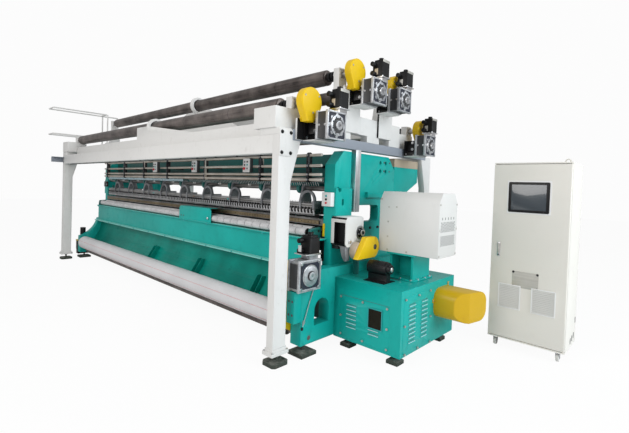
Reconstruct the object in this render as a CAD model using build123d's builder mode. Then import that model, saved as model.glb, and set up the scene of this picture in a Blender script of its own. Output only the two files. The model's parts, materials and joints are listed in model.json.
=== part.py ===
"""Warp knitting machine with its roller gantry and control cabinet, in millimetres, +X along the machine."""

import os
from build123d import *

os.makedirs("parts", exist_ok=True)

# Knitting machine, stacked from the floor up
leg_low = 110
frame_low = 800
i_beam_low = 757
i_beam_top = i_beam_low + 313
needle_low = i_beam_top + 125
needle_h = 70
guide_low = needle_low + needle_h + 35
guide_top = guide_low + 120
rocker_z = guide_top + 160
top_beam_low = rocker_z + 60
top_beam_top = top_beam_low + 320
frame_top = top_beam_top + 25

# Its depth, from the side frames' front edge
frame_front = -620
frame_rear = frame_front + 1165
i_beam_front = frame_front - 180
leg_front = frame_front - 477
bracket_front = leg_front - 93

# Gantry: four posts that straddle the machine, with the span between their centre lines
span = 6300
post_gap = 65
post_w = 86
post_d = 150
wall = 6
beam_h = 166
foot_top = 96
flange_h = 32
flange_out = 24
step_h = 26
step_out = 9
gusset_h = 380
gusset_out = 110
post_x = span / 2
post_y = post_d / 2 + post_gap - bracket_front

# Levelling feet
pad_w = 172
pad_d = 190
pad_h = 40
pad_edge = 8
screw_r = 14
nut_r = 24
nut_h = 16

# Grey channels along Y on both ends, the left one runs out past the front post
channel_w = 90
channel_h = 100
channel_z = frame_top + 25
channel_wall = 8
channel_nose = 200
channel_top = channel_z + channel_h
gantry_top = channel_z + 40

# Let-off rollers: rows across the gantry, and the boxes that carry the low ones
box_h = 190
tube_r = 82
tube_end = post_x - 220
journal_r = 28
shaft_gap = 0.2
seat_gap = 0.3
running_gap = 8
roller_low_z = channel_top + box_h + 58
roller_front_low_y = 185 - post_y
roller_front_high_y = -490
roller_rear_high_y = 270
roller_rear_low_y = post_y - 430
coupling_r = 52
coupling_len = 80
coupling_gap = 14

# White side beams that stand on the channels
side_beam_w = 90
side_beam_z = channel_top + 70
side_beam_h = 190
side_beam_front = roller_front_high_y - 150
side_beam_rear = roller_rear_high_y + 290
side_beam_top = side_beam_z + side_beam_h
roller_high_z = side_beam_top + 410
link_len = 230

# Long upper beams under the two high rollers
upper_beam_w = 90
upper_beam_h = 160

# Bearing boxes under the low rollers and pedestals under the high ones
box_x = post_x - 300
box_len = 300
box_front = 275
box_back = 50
bearing_x = post_x - 98
bearing_len = 76
bearing_w = 130
bearing_top = 62
pedestal_foot = 220
pedestal_neck = 120
skirt_t = 12
skirt_h = 236

# Rings that carry the rollers in the middle, with the splice plate and the tie plate behind the front beam
ring_x = 266
ring_out = 126
ring_in = 92
ring_len = 46
splice_left = -361
splice_right = 1226
splice_slope = 85
splice_t = 12
splice_top = roller_low_z + 10
tie_h = 150
yoke_foot = 1080
yoke_head = 130
yoke_t = 16

# Drive on each let-off roller: chain guard, worm gearbox and servo motor
guard_x = post_x + 98
guard_t = 82
guard_r = 127
guard_edge = 8
guard_tail_w = 75
guard_tail_shift = -12
guard_tail_drop = 181
guard_lug = 26
drive_dy = 135
drive_low_dz = -211
drive_high_dz = -203
bracket_t = 24
mount_len = 145
mount_size = 132
gearbox_len = 144
gearbox_size = 252
gearbox_rim = 14
gearbox_sink = 8
gearbox_waist = 9
gearbox_flange = 26
hub_r = 92
hub_t = 12
lobe_r = 17
lobe_count = 8
boss_r = 40
boss_t = 20
bore_r = 14
bore_deep = 18
motor_dy = 105
adapter_h = 34
adapter_t = 10
motor_size = 128
motor_h = 150
motor_edge = 12
plug_r = 24
plug_h = 52

# Pipe guard at the left end of the gantry
rail_r = 13
rail_out = 300
rail_front = -post_y - 260
rail_back = roller_front_high_y + 190
rail_top = side_beam_top + 590
rail_mid = rail_top - 500

# Side frames with their front pillars, window and ledge, and the legs under them
frame_in = post_x - 110
frame_t = 110
chamfer_y = 136
chamfer_z = 150
window_front = frame_front + 320
window_rear = frame_rear - 330
window_low = i_beam_top + 155
window_top = rocker_z - 167
window_round = 40
slot_y = frame_front + 115
slot_z = rocker_z - 130
slot_w = 36
slot_h = 70
bolt_hole_r = 22
bolt_hole_y = frame_rear - 252
bolt_hole_z = frame_top - 125
bolt_hole_dy = 113
bolt_hole_dz = 100
pillar_w = 265
pillar_step = rocker_z + 15
pillar_out = 25
pillar_foot_out = 50
ledge_y = frame_front + 565
ledge_z = rocker_z - 80
ledge_h = 60
ledge_out = 40
leg_in = frame_in + 55
leg_out = frame_in + 190
leg_shelf = frame_low - 167
leg_step = i_beam_front - 50
leg_curve_y = i_beam_front - 34
leg_curve_z = frame_low - 174
leg_toe_top = frame_low - 360
arch_mid = frame_front - 192
arch_r = 105
arch_low = leg_low + 160
arch_spring = leg_low + 303
leg_pad_w = 190
leg_pad_d = 200
leg_pad_y = leg_front + 97
leg_pad_rear = frame_rear - 125

# Beams between the side frames
top_beam_front = frame_front + 200
top_beam_rear = top_beam_front + 360
i_beam_web = i_beam_front + 30
i_beam_t = 16
i_beam_lip = 40
stretcher_y = frame_rear - 215
stretcher_w = 160
stretcher_low = leg_low + 140
stretcher_h = 260
deck_rear = frame_rear + 585
deck_z = frame_top - 105
deck_t = 100
deck_beam_low = deck_z - 280
deck_beam_front = frame_rear + 75
deck_beam_rear = deck_rear - 50
deck_arm_low = deck_z - 460

# Fabric tray under the front beam
tray_top_y = i_beam_front + 100
tray_mid_y = i_beam_front + 35
tray_mid_z = i_beam_low - 257
tray_end_y = i_beam_front - 115
tray_end_z = i_beam_low - 457
tray_t = 8
tray_rib_t = 8
tray_rib_gap = 88
tray_rib_out = 45
tray_rib_low = tray_end_z + 50
tray_rib_top = tray_mid_z + 60
tray_rib_xs = (-380, 970, 2260)

# Rails, push-button boxes and yarn rail on the front of the top beam
stop_rail_r = 15
stop_rail_y = frame_front - 55
stop_rail_rises = (33, 88, 181, 292)
stop_clamp_t = 30
stop_clamp_inset = 180
stop_clamp_xs = (-2000, -1140, -280, 840, 2060)
button_w = 125
button_d = 60
button_h = 145
button_rise = 190
button_xs = (-600, 600, 1818)
pendant_x = frame_in + 80
pendant_z = guide_top + 56
yarn_rail_y = frame_front - 15
yarn_rail_rise = 10
yarn_rail_h = 50
yarn_rail_t = 10
yarn_arm_t = 20

# Rocker shaft in its hangers, comb-headed rocker arms and the guide bars they carry
rocker_y = frame_front + 60
rocker_r = 26
hanger_r = 58
hanger_t = 44
hanger_count = 9
hanger_inset = 400
hanger_foot_h = 40
arm_r = 52
arm_t = 26
arm_shift = 70
arch_span = 200
arch_band = 26
arch_y = rocker_y - 63
arch_t = 24
guide_bar_t = 10
guide_bar_count = 6
guide_bar_pitch = 28
guide_inset = 110
comb_wall = 12
comb_deep = 55
comb_roof = 30
needle_y = rocker_y - 30
needle_w = 60
needle_lip = 12

# Take-down rollers on the front beam, with the cover over their middle
takedown_r = 42
takedown_end = frame_in - 90
takedown_pin_r = 15
takedown_front_y = i_beam_front + 55
takedown_front_z = i_beam_top + 58
takedown_rear_y = i_beam_front + 145
takedown_rear_z = i_beam_top + 70
takedown_plate_x = frame_in - 50
takedown_plate_t = 24
takedown_plate_top = i_beam_top + 110
cover_left = 350
cover_right = 1200
roller_cover_h = 190
roller_cover_t = 6
roller_cover_d = 140
roller_cover_round = 50

# Take-up of the fabric at the front
cloth_r = 118
cloth_end = frame_in - 100
cloth_y = leg_front + 37
cloth_z = leg_low + 220
axle_r = 22
press_r = 50
press_y = leg_front + 112
press_z = leg_low + 58
take_up_size = 290
take_up_len = 150
take_up_x = leg_in + 35
take_up_motor_dy = 62
take_up_motor_size = 135
take_up_motor_h = 150
bracket_low = leg_shelf - 293
chain_cover_x = frame_in - 32
chain_cover_t = 80
chain_cover_r = 110
left_box_w = 110
left_box_d = 207
left_box_low = 60
left_box_h = 270
left_motor_r = 62
left_motor_h = 250
left_plate_t = 12
left_plate_out = 30
left_plate_drop = 150

# Base cabinet with its access panels and louvres, motor cover, pedestal and pattern housing on the right
base_right = leg_out + 765
base_rear = frame_rear - 82
base_low = 100
base_top = base_low + 600
base_pad_inset = 110
base_pad_size = 120
panel_t = 2
panel_low = base_low + 32
panel_top = base_low + 436
panel_left = leg_out + 75
panel_right = base_right - 118
side_panel_front = frame_front + 40
side_panel_w = 520
side_panel_top = base_top - 62
base_window_left = base_right - 342
base_window_w = 147
base_window_low = base_low + 200
base_window_h = 181
base_window_deep = 20
louvre_h = 13
louvre_out = 9
louvre_w = 118
louvre_left = leg_out + 163
louvre_low = base_low + 135
louvre_pitch = 42
louvre_count = 6
louvre_pair_low = base_low + 134
side_louvre_ys = (frame_front + 190, frame_front + 422)
side_louvre_low = base_low + 108
side_louvre_pitch = 42
side_louvre_count = 9
motor_cover_len = 435
motor_cover_y = base_rear - 279
motor_cover_z = base_top - 281
motor_cover_size = 374
motor_cover_round = 120
motor_cover_bevel = 120
lug_w = 36
lug_t = 10
lug_out = 34
pedestal_left = base_right - 399
pedestal_right = base_right - 131
pedestal_front = frame_front + 421
pedestal_rear = pedestal_front + 341
pedestal_wall = 26
housing_left = pedestal_left - 131
housing_right = pedestal_right + 259
housing_front = pedestal_front - 16
housing_rear = pedestal_rear + 33
housing_low = base_top + 263
housing_eave = housing_low + 534
housing_slope = 63

# Crank casting with its hub, belt guard and drive motor
casting_right = frame_in + 305
casting_rear = frame_front + 290
casting_low = base_top + 305
casting_top = casting_low + 305
pillar_low = casting_top + seat_gap
casting_round = 40
casting_window_left = frame_in + 140
casting_window_low = casting_low + 25
casting_window_top = casting_top - 60
casting_window_deep = 60
crank_y = casting_rear - 55
crank_z = casting_low + 140
crank_r = 52
crank_len = 45
crank_pin_r = 20
guard_plate_y = casting_rear - 140
guard_plate_z = casting_low - 40
guard_plate_r = 90
belt_guard_x = casting_right + 75
belt_guard_t = 60
belt_guard_low = casting_low - 105
belt_guard_left = casting_rear - 262
belt_guard_crown = casting_rear - 121
belt_guard_top = casting_low + 107
belt_guard_r = 105
belt_guard_y = casting_rear + 28
belt_guard_z = casting_low + 1
belt_hole_r = 24
motor_left = belt_guard_x + 94
motor_right = motor_left + 216
motor_y = frame_front + 195
motor_z = base_top + 130
motor_r = 66
motor_base_t = 12
motor_base_d = 150
motor_cap_r = 46
motor_cap_len = 30
profile_y = frame_front + 337
profile_w = 65
profile_d = 88
profile_low = casting_top + 35

# Control cabinet on castors, beside the machine and clear of the motor cover when its door swings
cab_left = base_right + 315
cab_front = 640
cab_w = 700
cab_d = 500
cab_low = 100
cab_top = cab_low + 1817
cab_wall = 12
door_t = 22
door_gap = 5
door_pin_r = 5
castor_inset = 60
castor_r = 36
castor_t = 26
castor_plate = 90
screen_w = 400
screen_h = 335
screen_drop = 350
screen_shift = -14
screen_rim = 28
screen_deep = 4
handle_inset = 75
handle_drop = 899
handle_w = 30
handle_h = 150
nameplate_drop = 1182
nameplate_w = 240
nameplate_h = 165
vent_shift = 155
vent_drop = 1369
vent_w = 212
vent_h = 248
fitting_t = 12
plate_t = 2
eye_ring_r = 22
eye_wire_r = 6

# The frame's origin lies on the floor in the middle of the whole set
left_reach = post_x + rail_out + rail_r
right_reach = cab_left + cab_w
front_reach = post_y + post_d / 2 + channel_nose
rear_reach = post_y + pad_d / 2
mid_x = (left_reach - right_reach) / 2
mid_y = (front_reach - rear_reach) / 2


def level(z):
    """Horizontal plane at height z over the gantry's middle."""
    return Plane(origin=(mid_x, mid_y, z))


def across(x):
    """Upright plane across the machine: local X is the machine's Y, local Y is height."""
    return Plane(origin=(mid_x + x, mid_y, 0), x_dir=(0, 1, 0), z_dir=(1, 0, 0))


def along(y):
    """Upright plane along the machine: local X is the machine's X, local Y is height, facing the front."""
    return Plane(origin=(mid_x, mid_y + y, 0), x_dir=(1, 0, 0), z_dir=(0, -1, 0))


post_inner_y = post_y - post_d / 2
post_spots = [(sx * post_x, sy * post_y) for sx in (-1, 1) for sy in (-1, 1)]

with BuildPart() as gantry_posts:
    with BuildSketch(level(foot_top)):
        with Locations(*post_spots):
            Rectangle(post_w + 2 * flange_out, post_d + 2 * flange_out)
    extrude(amount=flange_h)
    with BuildSketch(level(foot_top + flange_h)):
        with Locations(*post_spots):
            Rectangle(post_w + 2 * step_out, post_d + 2 * step_out)
    extrude(amount=step_h)
    with BuildSketch(level(foot_top + flange_h + step_h)):
        with Locations(*post_spots):
            Rectangle(post_w, post_d)
    extrude(amount=gantry_top - foot_top - flange_h - step_h)
    for end in (-1, 1):
        with BuildSketch(across(end * post_x - post_w / 2)):
            for row in (-1, 1):
                with BuildLine():
                    Polyline(
                        (row * post_inner_y, gantry_top - beam_h / 4 - gusset_h),
                        (row * (post_inner_y - gusset_out), gantry_top - beam_h / 4),
                        (row * (post_inner_y - gusset_out), channel_z - seat_gap),
                        (row * post_inner_y, channel_z - seat_gap),
                        close=True,
                    )
                make_face()
        extrude(amount=post_w)
gantry_posts.part.label = "gantry_posts"
export_step(gantry_posts.part, "parts/gantry_posts.step")

with BuildPart() as gantry_feet:
    with BuildSketch(level(0)):
        with Locations(*post_spots):
            Rectangle(pad_w, pad_d)
    extrude(amount=pad_h)
    chamfer(gantry_feet.edges().filter_by(Axis.Z), length=3 * pad_edge)
    chamfer(gantry_feet.faces().group_by(Axis.Z)[-1].edges(), length=pad_edge)
    with BuildSketch(level(pad_h)):
        with Locations(*post_spots):
            Circle(screw_r)
    extrude(amount=foot_top - pad_h)
    with BuildSketch(level(foot_top - nut_h)):
        with Locations(*post_spots):
            RegularPolygon(nut_r, 6)
    extrude(amount=nut_h)
gantry_feet.part.label = "gantry_feet"
export_step(gantry_feet.part, "parts/gantry_feet.step")

beam_len = span - post_w
for beam_name, beam_y in (("front_beam", -post_y), ("rear_beam", post_y)):
    with BuildPart() as gantry_beam:
        with BuildSketch(across(-beam_len / 2)):
            with Locations((beam_y, gantry_top - beam_h / 2)):
                Rectangle(post_d, beam_h)
                Rectangle(post_d - 2 * wall, beam_h - 2 * wall, mode=Mode.SUBTRACT)
        extrude(amount=beam_len)
    gantry_beam.part.label = beam_name
    export_step(gantry_beam.part, f"parts/{beam_name}.step")

channel_len = 2 * post_inner_y
with BuildPart() as cable_channels:
    with BuildSketch(along(post_inner_y)):
        for end in (-1, 1):
            with Locations((end * post_x, channel_z + channel_h / 2)):
                Rectangle(channel_w, channel_h)
            with Locations((end * (post_x - channel_wall), channel_z + channel_h / 2)):
                Rectangle(channel_w, channel_h - 2 * channel_wall, mode=Mode.SUBTRACT)
    extrude(amount=channel_len)
    with BuildSketch(along(-post_y - post_d / 2)):
        with Locations((-post_x, channel_z - channel_h / 2)):
            Rectangle(channel_w, channel_h)
        with Locations((-post_x + channel_wall, channel_z - channel_h / 2)):
            Rectangle(channel_w, channel_h - 2 * channel_wall, mode=Mode.SUBTRACT)
    extrude(amount=channel_nose)
cable_channels.part.label = "cable_channels"
export_step(cable_channels.part, "parts/cable_channels.step")

with BuildPart() as side_beams:
    with BuildSketch(along(side_beam_rear)):
        for end in (-1, 1):
            with Locations((end * post_x, side_beam_z + side_beam_h / 2)):
                Rectangle(side_beam_w, side_beam_h)
    extrude(amount=side_beam_rear - side_beam_front)
    with BuildSketch(level(channel_top)):
        for end in (-1, 1):
            for row in (side_beam_front + link_len / 2, 0, side_beam_rear - link_len / 2):
                with Locations((end * post_x, row)):
                    Rectangle(side_beam_w, link_len)
    extrude(amount=side_beam_z - channel_top)
side_beams.part.label = "side_beams"
export_step(side_beams.part, "parts/side_beams.step")

upper_beam_z = side_beam_z + side_beam_h - upper_beam_h
upper_beam_len = span - side_beam_w
with BuildPart() as upper_beams:
    with BuildSketch(across(-upper_beam_len / 2)):
        with Locations(
            (roller_front_high_y, upper_beam_z + upper_beam_h / 2),
            (roller_rear_high_y, upper_beam_z + upper_beam_h / 2),
        ):
            Rectangle(upper_beam_w, upper_beam_h)
            Rectangle(upper_beam_w - 2 * wall, upper_beam_h - 2 * wall, mode=Mode.SUBTRACT)
    extrude(amount=upper_beam_len)
upper_beams.part.label = "upper_beams"
export_step(upper_beams.part, "parts/upper_beams.step")

bearing_mid = bearing_x + bearing_len / 2
low_roller_rows = (roller_front_low_y, roller_rear_low_y)
high_roller_rows = (roller_front_high_y, roller_rear_high_y)
box_low = channel_top
box_base_x = box_x + box_len / 4
with BuildPart() as roller_pedestals:
    for end in (-1, 1):
        with BuildSketch(level(gantry_top)):
            with Locations((end * (box_base_x + post_x + post_w / 2) / 2, -post_y)):
                Rectangle(post_x + post_w / 2 - box_base_x, post_d - 2 * seat_gap)
        extrude(amount=box_low - gantry_top)
    for end in (-1, 1):
        for row_y in low_roller_rows:
            with BuildSketch(level(box_low)):
                with Locations((end * (box_x + box_len / 2), row_y + (box_back - box_front) / 2)):
                    Rectangle(box_len, box_front + box_back)
            extrude(amount=box_h)
            with BuildSketch(level(box_low + box_h)):
                with Locations((end * bearing_mid, row_y)):
                    Rectangle(bearing_len, bearing_w)
            extrude(amount=roller_low_z + bearing_top - box_low - box_h)
        for row_y in high_roller_rows:
            with BuildSketch(across(end * bearing_mid - bearing_len / 2)):
                with BuildLine():
                    Polyline(
                        (row_y - pedestal_foot / 2, side_beam_top),
                        (row_y - pedestal_neck / 2, roller_high_z - bearing_w),
                        (row_y - bearing_w / 2, roller_high_z),
                        (row_y - bearing_w / 2, roller_high_z + bearing_top),
                        (row_y + bearing_w / 2, roller_high_z + bearing_top),
                        (row_y + bearing_w / 2, roller_high_z),
                        (row_y + pedestal_neck / 2, roller_high_z - bearing_w),
                        (row_y + pedestal_foot / 2, side_beam_top),
                        close=True,
                    )
                make_face()
            extrude(amount=bearing_len)
    for row_y, row_z in (
        (roller_front_low_y, roller_low_z),
        (roller_front_high_y, roller_high_z),
        (roller_rear_high_y, roller_high_z),
        (roller_rear_low_y, roller_low_z),
    ):
        with BuildSketch(across(-span)):
            with Locations((row_y, row_z)):
                Circle(journal_r + shaft_gap)
        extrude(amount=2 * span, mode=Mode.SUBTRACT)
        with BuildSketch(across(-tube_end - running_gap)):
            with Locations((row_y, row_z)):
                Circle(tube_r + running_gap)
        extrude(amount=2 * (tube_end + running_gap), mode=Mode.SUBTRACT)
    with BuildSketch(across(post_x + post_w / 2)):
        with Locations((-post_y, gantry_top + box_h / 4 - skirt_h / 2)):
            Rectangle(post_d - 2 * seat_gap, skirt_h)
    extrude(amount=skirt_t)
roller_pedestals.part.label = "roller_pedestals"
export_step(roller_pedestals.part, "parts/roller_pedestals.step")

roller_rows = {
    "roller_front_low": (roller_front_low_y, roller_low_z),
    "roller_front_high": (roller_front_high_y, roller_high_z),
    "roller_rear_high": (roller_rear_high_y, roller_high_z),
    "roller_rear_low": (roller_rear_low_y, roller_low_z),
}
bearing_out = bearing_x + bearing_len
for roller_name, (row_y, row_z) in roller_rows.items():
    with BuildPart() as let_off_roller:
        with BuildSketch(across(-bearing_out)):
            with Locations((row_y, row_z)):
                Circle(journal_r)
        extrude(amount=bearing_out + guard_x - coupling_gap)
        with BuildSketch(across(-tube_end)):
            with Locations((row_y, row_z)):
                Circle(tube_r)
        extrude(amount=2 * tube_end)
        with BuildSketch(across(tube_end + coupling_gap)):
            with Locations((row_y, row_z)):
                Circle(coupling_r)
        extrude(amount=coupling_len)
    let_off_roller.part.label = roller_name
    export_step(let_off_roller.part, f"parts/{roller_name}.step")

splice_y = -post_inner_y
rear_arm_y = post_inner_y
with BuildPart() as centre_supports:
    with BuildSketch(along(splice_y + splice_t / 2)):
        with BuildLine():
            Polyline(
                (ring_x + splice_left, gantry_top),
                (ring_x + splice_left, splice_top),
                (ring_x, splice_top),
                (ring_x + splice_right, splice_top - 2 * splice_slope),
                (ring_x + splice_right - splice_slope, gantry_top),
                close=True,
            )
        make_face()
        with Locations((0, gantry_top + tie_h / 2)):
            Rectangle(2 * (box_x - running_gap), tie_h)
    extrude(amount=splice_t)
    for row_y in high_roller_rows:
        with BuildSketch(along(row_y + yoke_t / 2)):
            with BuildLine():
                Polyline(
                    (ring_x - yoke_foot, side_beam_top),
                    (ring_x - yoke_head, roller_high_z),
                    (ring_x + yoke_head, roller_high_z),
                    (ring_x + yoke_foot, side_beam_top),
                    close=True,
                )
            make_face()
        extrude(amount=yoke_t)
    with BuildSketch(across(ring_x - yoke_t / 2)):
        with BuildLine():
            Polyline(
                (rear_arm_y, gantry_top - beam_h),
                (rear_arm_y, gantry_top),
                (roller_rear_low_y + ring_out / 2, roller_low_z),
                (roller_rear_low_y - ring_out / 2, roller_low_z - ring_in),
                close=True,
            )
        make_face()
    extrude(amount=yoke_t)
    for row_y, row_z in roller_rows.values():
        with BuildSketch(across(ring_x - ring_len / 2)):
            with Locations((row_y, row_z)):
                Circle(ring_out)
        extrude(amount=ring_len)
        with BuildSketch(across(-span / 2)):
            with Locations((row_y, row_z)):
                Circle(ring_in)
        extrude(amount=span, mode=Mode.SUBTRACT)
centre_supports.part.label = "centre_supports"
export_step(centre_supports.part, "parts/centre_supports.step")

# Each drive: the roller's row, its height, which side the gearbox hangs on, and the gearbox's drop
drives = (
    (roller_front_low_y, roller_low_z, 1, drive_low_dz),
    (roller_front_high_y, roller_high_z, 1, drive_high_dz),
    (roller_rear_high_y, roller_high_z, -1, drive_high_dz),
    (roller_rear_low_y, roller_low_z, -1, drive_low_dz),
)
bracket_x = post_x + side_beam_w / 2 + seat_gap
mount_x = bracket_x + bracket_t
gearbox_x = mount_x + mount_len
with BuildPart() as chain_guards:
    for row_y, row_z, side, drop in drives:
        tail_y = row_y + side * guard_tail_shift
        tail_z = row_z - guard_tail_drop + guard_edge
        with BuildSketch(across(guard_x)):
            with Locations((row_y, row_z)):
                Circle(guard_r)
            with Locations((tail_y, tail_z)):
                Rectangle(guard_tail_w, 2 * guard_edge)
            make_hull()
        extrude(amount=guard_t)
        with BuildSketch(across(mount_x + seat_gap)):
            with Locations((tail_y, tail_z + guard_edge)):
                Rectangle(guard_tail_w - 2 * guard_edge, 2 * guard_edge)
        extrude(amount=guard_x - mount_x - seat_gap)
        with BuildSketch(across(guard_x)):
            with Locations((tail_y - guard_tail_w / 2, tail_z + guard_lug)):
                Circle(guard_lug)
                Circle(guard_edge, mode=Mode.SUBTRACT)
        extrude(amount=guard_edge)
    chamfer(chain_guards.faces().group_by(Axis.X)[-1].edges(), length=guard_edge)
chain_guards.part.label = "chain_guards"
export_step(chain_guards.part, "parts/chain_guards.step")

with BuildPart() as gearbox_brackets:
    for row_y, row_z, side, drop in drives:
        gear_y = row_y + side * drive_dy
        plate_low = min(row_z + drop - gearbox_size / 2, side_beam_top - side_beam_h)
        plate_low = max(plate_low, channel_z)
        plate_top = row_z + drop + mount_size / 2
        plate_out = row_y - side * guard_tail_w
        plate_in = gear_y + side * mount_size / 2
        with BuildSketch(across(bracket_x)):
            with Locations(((plate_out + plate_in) / 2, (plate_low + plate_top) / 2)):
                Rectangle(abs(plate_in - plate_out), plate_top - plate_low)
        extrude(amount=bracket_t)
        with BuildSketch(across(mount_x)):
            with Locations((gear_y, row_z + drop)):
                Rectangle(mount_size, mount_size)
        extrude(amount=mount_len)
gearbox_brackets.part.label = "gearbox_brackets"
export_step(gearbox_brackets.part, "parts/gearbox_brackets.step")


def worm_gearbox(x, y, z, size, length):
    """Worm gearbox with flanges at both ends of its waist, a lobed cover and a bored boss, facing +X."""
    with BuildPart() as unit:
        face = x + length
        with BuildSketch(across(x)):
            with Locations((y, z)):
                Rectangle(size - 2 * gearbox_waist, size - 2 * gearbox_waist)
        extrude(amount=length)
        for flange_x in (x, face - gearbox_flange):
            with BuildSketch(across(flange_x)):
                with Locations((y, z)):
                    Rectangle(size, size)
            extrude(amount=gearbox_flange)
        with BuildSketch(across(face - gearbox_sink)):
            with Locations((y, z)):
                Rectangle(size - 2 * gearbox_rim, size - 2 * gearbox_rim)
        extrude(amount=gearbox_sink, mode=Mode.SUBTRACT)
        with BuildSketch(across(face - gearbox_sink)):
            with Locations((y, z)):
                Circle(hub_r)
                with PolarLocations(hub_r, lobe_count):
                    Circle(lobe_r)
        extrude(amount=gearbox_sink)
        with BuildSketch(across(face)):
            with Locations((y, z)):
                Circle(hub_r)
        extrude(amount=hub_t)
        with BuildSketch(across(face + hub_t)):
            with Locations((y, z)):
                Circle(boss_r)
        extrude(amount=boss_t)
        with BuildSketch(across(face + hub_t + boss_t)):
            with Locations((y, z)):
                Circle(bore_r)
        extrude(amount=-bore_deep, mode=Mode.SUBTRACT)
    return unit.part


def servo_motor(x, y, seat, size, height):
    """Servo motor on its adapter, standing on a gearbox whose top is at seat."""
    with BuildPart() as unit:
        with BuildSketch(level(seat)):
            with Locations((x, y)):
                Rectangle(size - 2 * motor_edge, size - 2 * motor_edge)
        extrude(amount=adapter_h)
        with BuildSketch(level(seat + adapter_h)):
            with Locations((x, y)):
                Rectangle(size + motor_edge, size + motor_edge)
        extrude(amount=adapter_t)
        with BuildSketch(level(seat + adapter_h + adapter_t)):
            with Locations((x, y)):
                RectangleRounded(size, size, motor_edge)
        extrude(amount=height)
        crown = seat + adapter_h + adapter_t + height
        with BuildSketch(level(crown)):
            with Locations((x, y)):
                RectangleRounded(size - 2 * motor_edge, size - 2 * motor_edge, motor_edge)
        extrude(amount=plug_h / 2)
        with BuildSketch(level(crown + plug_h / 2)):
            with Locations((x, y)):
                Circle(plug_r)
        extrude(amount=plug_h / 2)
        with BuildSketch(along(y - size / 2)):
            with Locations((x - size / 4, crown - plug_r), (x - size / 4, seat + height / 2)):
                Circle(plug_r)
        extrude(amount=plug_h)
    return unit.part


with BuildPart() as let_off_gearboxes:
    for row_y, row_z, side, drop in drives:
        add(worm_gearbox(gearbox_x, row_y + side * drive_dy, row_z + drop, gearbox_size, gearbox_len))
let_off_gearboxes.part.label = "let_off_gearboxes"
export_step(let_off_gearboxes.part, "parts/let_off_gearboxes.step")

gearbox_mid = gearbox_x + gearbox_len / 2
with BuildPart() as let_off_motors:
    for row_y, row_z, side, drop in drives:
        motor_row = row_y + side * drive_dy + motor_dy
        add(servo_motor(gearbox_mid, motor_row, row_z + drop + gearbox_size / 2, motor_size, motor_h))
let_off_motors.part.label = "let_off_motors"
export_step(let_off_motors.part, "parts/let_off_motors.step")

# Pipe guard on the left: a long outer rail, a short inner rail and two uprights
rail_inner_x = -post_x
rail_outer_x = -post_x - rail_out
rail_post_y = side_beam_front
with BuildPart() as end_rail:
    for height in (rail_mid, rail_top):
        with BuildSketch(along(rail_back)):
            with Locations((rail_outer_x, height)):
                Circle(rail_r)
        extrude(amount=rail_back - rail_front)
        with BuildSketch(along(rail_post_y)):
            with Locations((rail_inner_x, height)):
                Circle(rail_r)
        extrude(amount=rail_post_y - rail_front)
        with BuildSketch(across(rail_outer_x)):
            with Locations((rail_front, height)):
                Circle(rail_r)
        extrude(amount=rail_inner_x - rail_outer_x)
    for rail_x, rail_y, rail_low in (
        (rail_inner_x, rail_post_y + 2 * rail_r, side_beam_top),
        (rail_outer_x, rail_post_y + 2 * rail_r, side_beam_z),
        (rail_outer_x, rail_back - rail_r, side_beam_z),
    ):
        with BuildSketch(level(rail_low)):
            with Locations((rail_x, rail_y)):
                Circle(rail_r)
        extrude(amount=rail_top - rail_low)
    with BuildSketch(across(rail_outer_x)):
        for foot_y in (rail_post_y + 2 * rail_r, rail_back - rail_r):
            with Locations((foot_y, side_beam_z + rail_r)):
                Circle(rail_r)
    extrude(amount=rail_out - side_beam_w / 2)
    with BuildSketch(across(rail_outer_x)):
        with Locations((rail_post_y, rail_top), (rail_post_y, rail_mid)):
            Circle(rail_r)
    extrude(amount=rail_out)
end_rail.part.label = "end_rail"
export_step(end_rail.part, "parts/end_rail.step")

# Side frames with their window, sight slot, bolt holes and the bore of the rocker shaft
frame_out = frame_in + frame_t
window_mid = ((window_front + window_rear) / 2, (window_low + window_top) / 2)
with BuildPart() as side_frames:
    for end in (-1, 1):
        with BuildSketch(across(min(end * frame_in, end * (frame_in + frame_t)))):
            with BuildLine():
                Polyline(
                    (frame_front, frame_low),
                    (frame_front, frame_top - chamfer_z),
                    (frame_front + chamfer_y, frame_top),
                    (frame_rear - chamfer_y, frame_top),
                    (frame_rear, frame_top - chamfer_z),
                    (frame_rear, frame_low),
                    close=True,
                )
            make_face()
        extrude(amount=frame_t)
        pillar_mid = frame_front + pillar_w / 2
        for low, high, proud in (
            (pillar_low, pillar_step, pillar_foot_out),
            (pillar_step, frame_top - chamfer_z, pillar_out),
        ):
            with BuildSketch(across(min(end * frame_out, end * (frame_out + proud)))):
                with Locations((pillar_mid, (low + high) / 2)):
                    Rectangle(pillar_w, high - low)
            extrude(amount=proud)
        with BuildSketch(across(min(end * frame_out, end * (frame_out + pillar_out)))):
            with BuildLine():
                Polyline(
                    (frame_front, frame_top - chamfer_z),
                    (frame_front + chamfer_y, frame_top),
                    (frame_front + pillar_w, frame_top),
                    (frame_front + pillar_w, frame_top - chamfer_z),
                    close=True,
                )
            make_face()
        extrude(amount=pillar_out)
        with BuildSketch(across(min(end * frame_out, end * (frame_out + ledge_out)))):
            with Locations(((ledge_y + frame_rear) / 2, ledge_z + ledge_h / 2)):
                Rectangle(frame_rear - ledge_y, ledge_h)
        extrude(amount=ledge_out)
        with BuildSketch(across(end * frame_in)):
            with Locations(window_mid):
                RectangleRounded(window_rear - window_front, window_top - window_low, window_round)
            with Locations((slot_y, slot_z)):
                SlotOverall(slot_h, slot_w, rotation=90)
            with Locations((bolt_hole_y, bolt_hole_z)):
                with GridLocations(bolt_hole_dy, bolt_hole_dz, 2, 2):
                    Circle(bolt_hole_r)
            with Locations((rocker_y, rocker_z)):
                Circle(rocker_r + shaft_gap)
        extrude(amount=end * (frame_t + pillar_foot_out), mode=Mode.SUBTRACT)
side_frames.part.label = "side_frames"
export_step(side_frames.part, "parts/side_frames.step")

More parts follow.
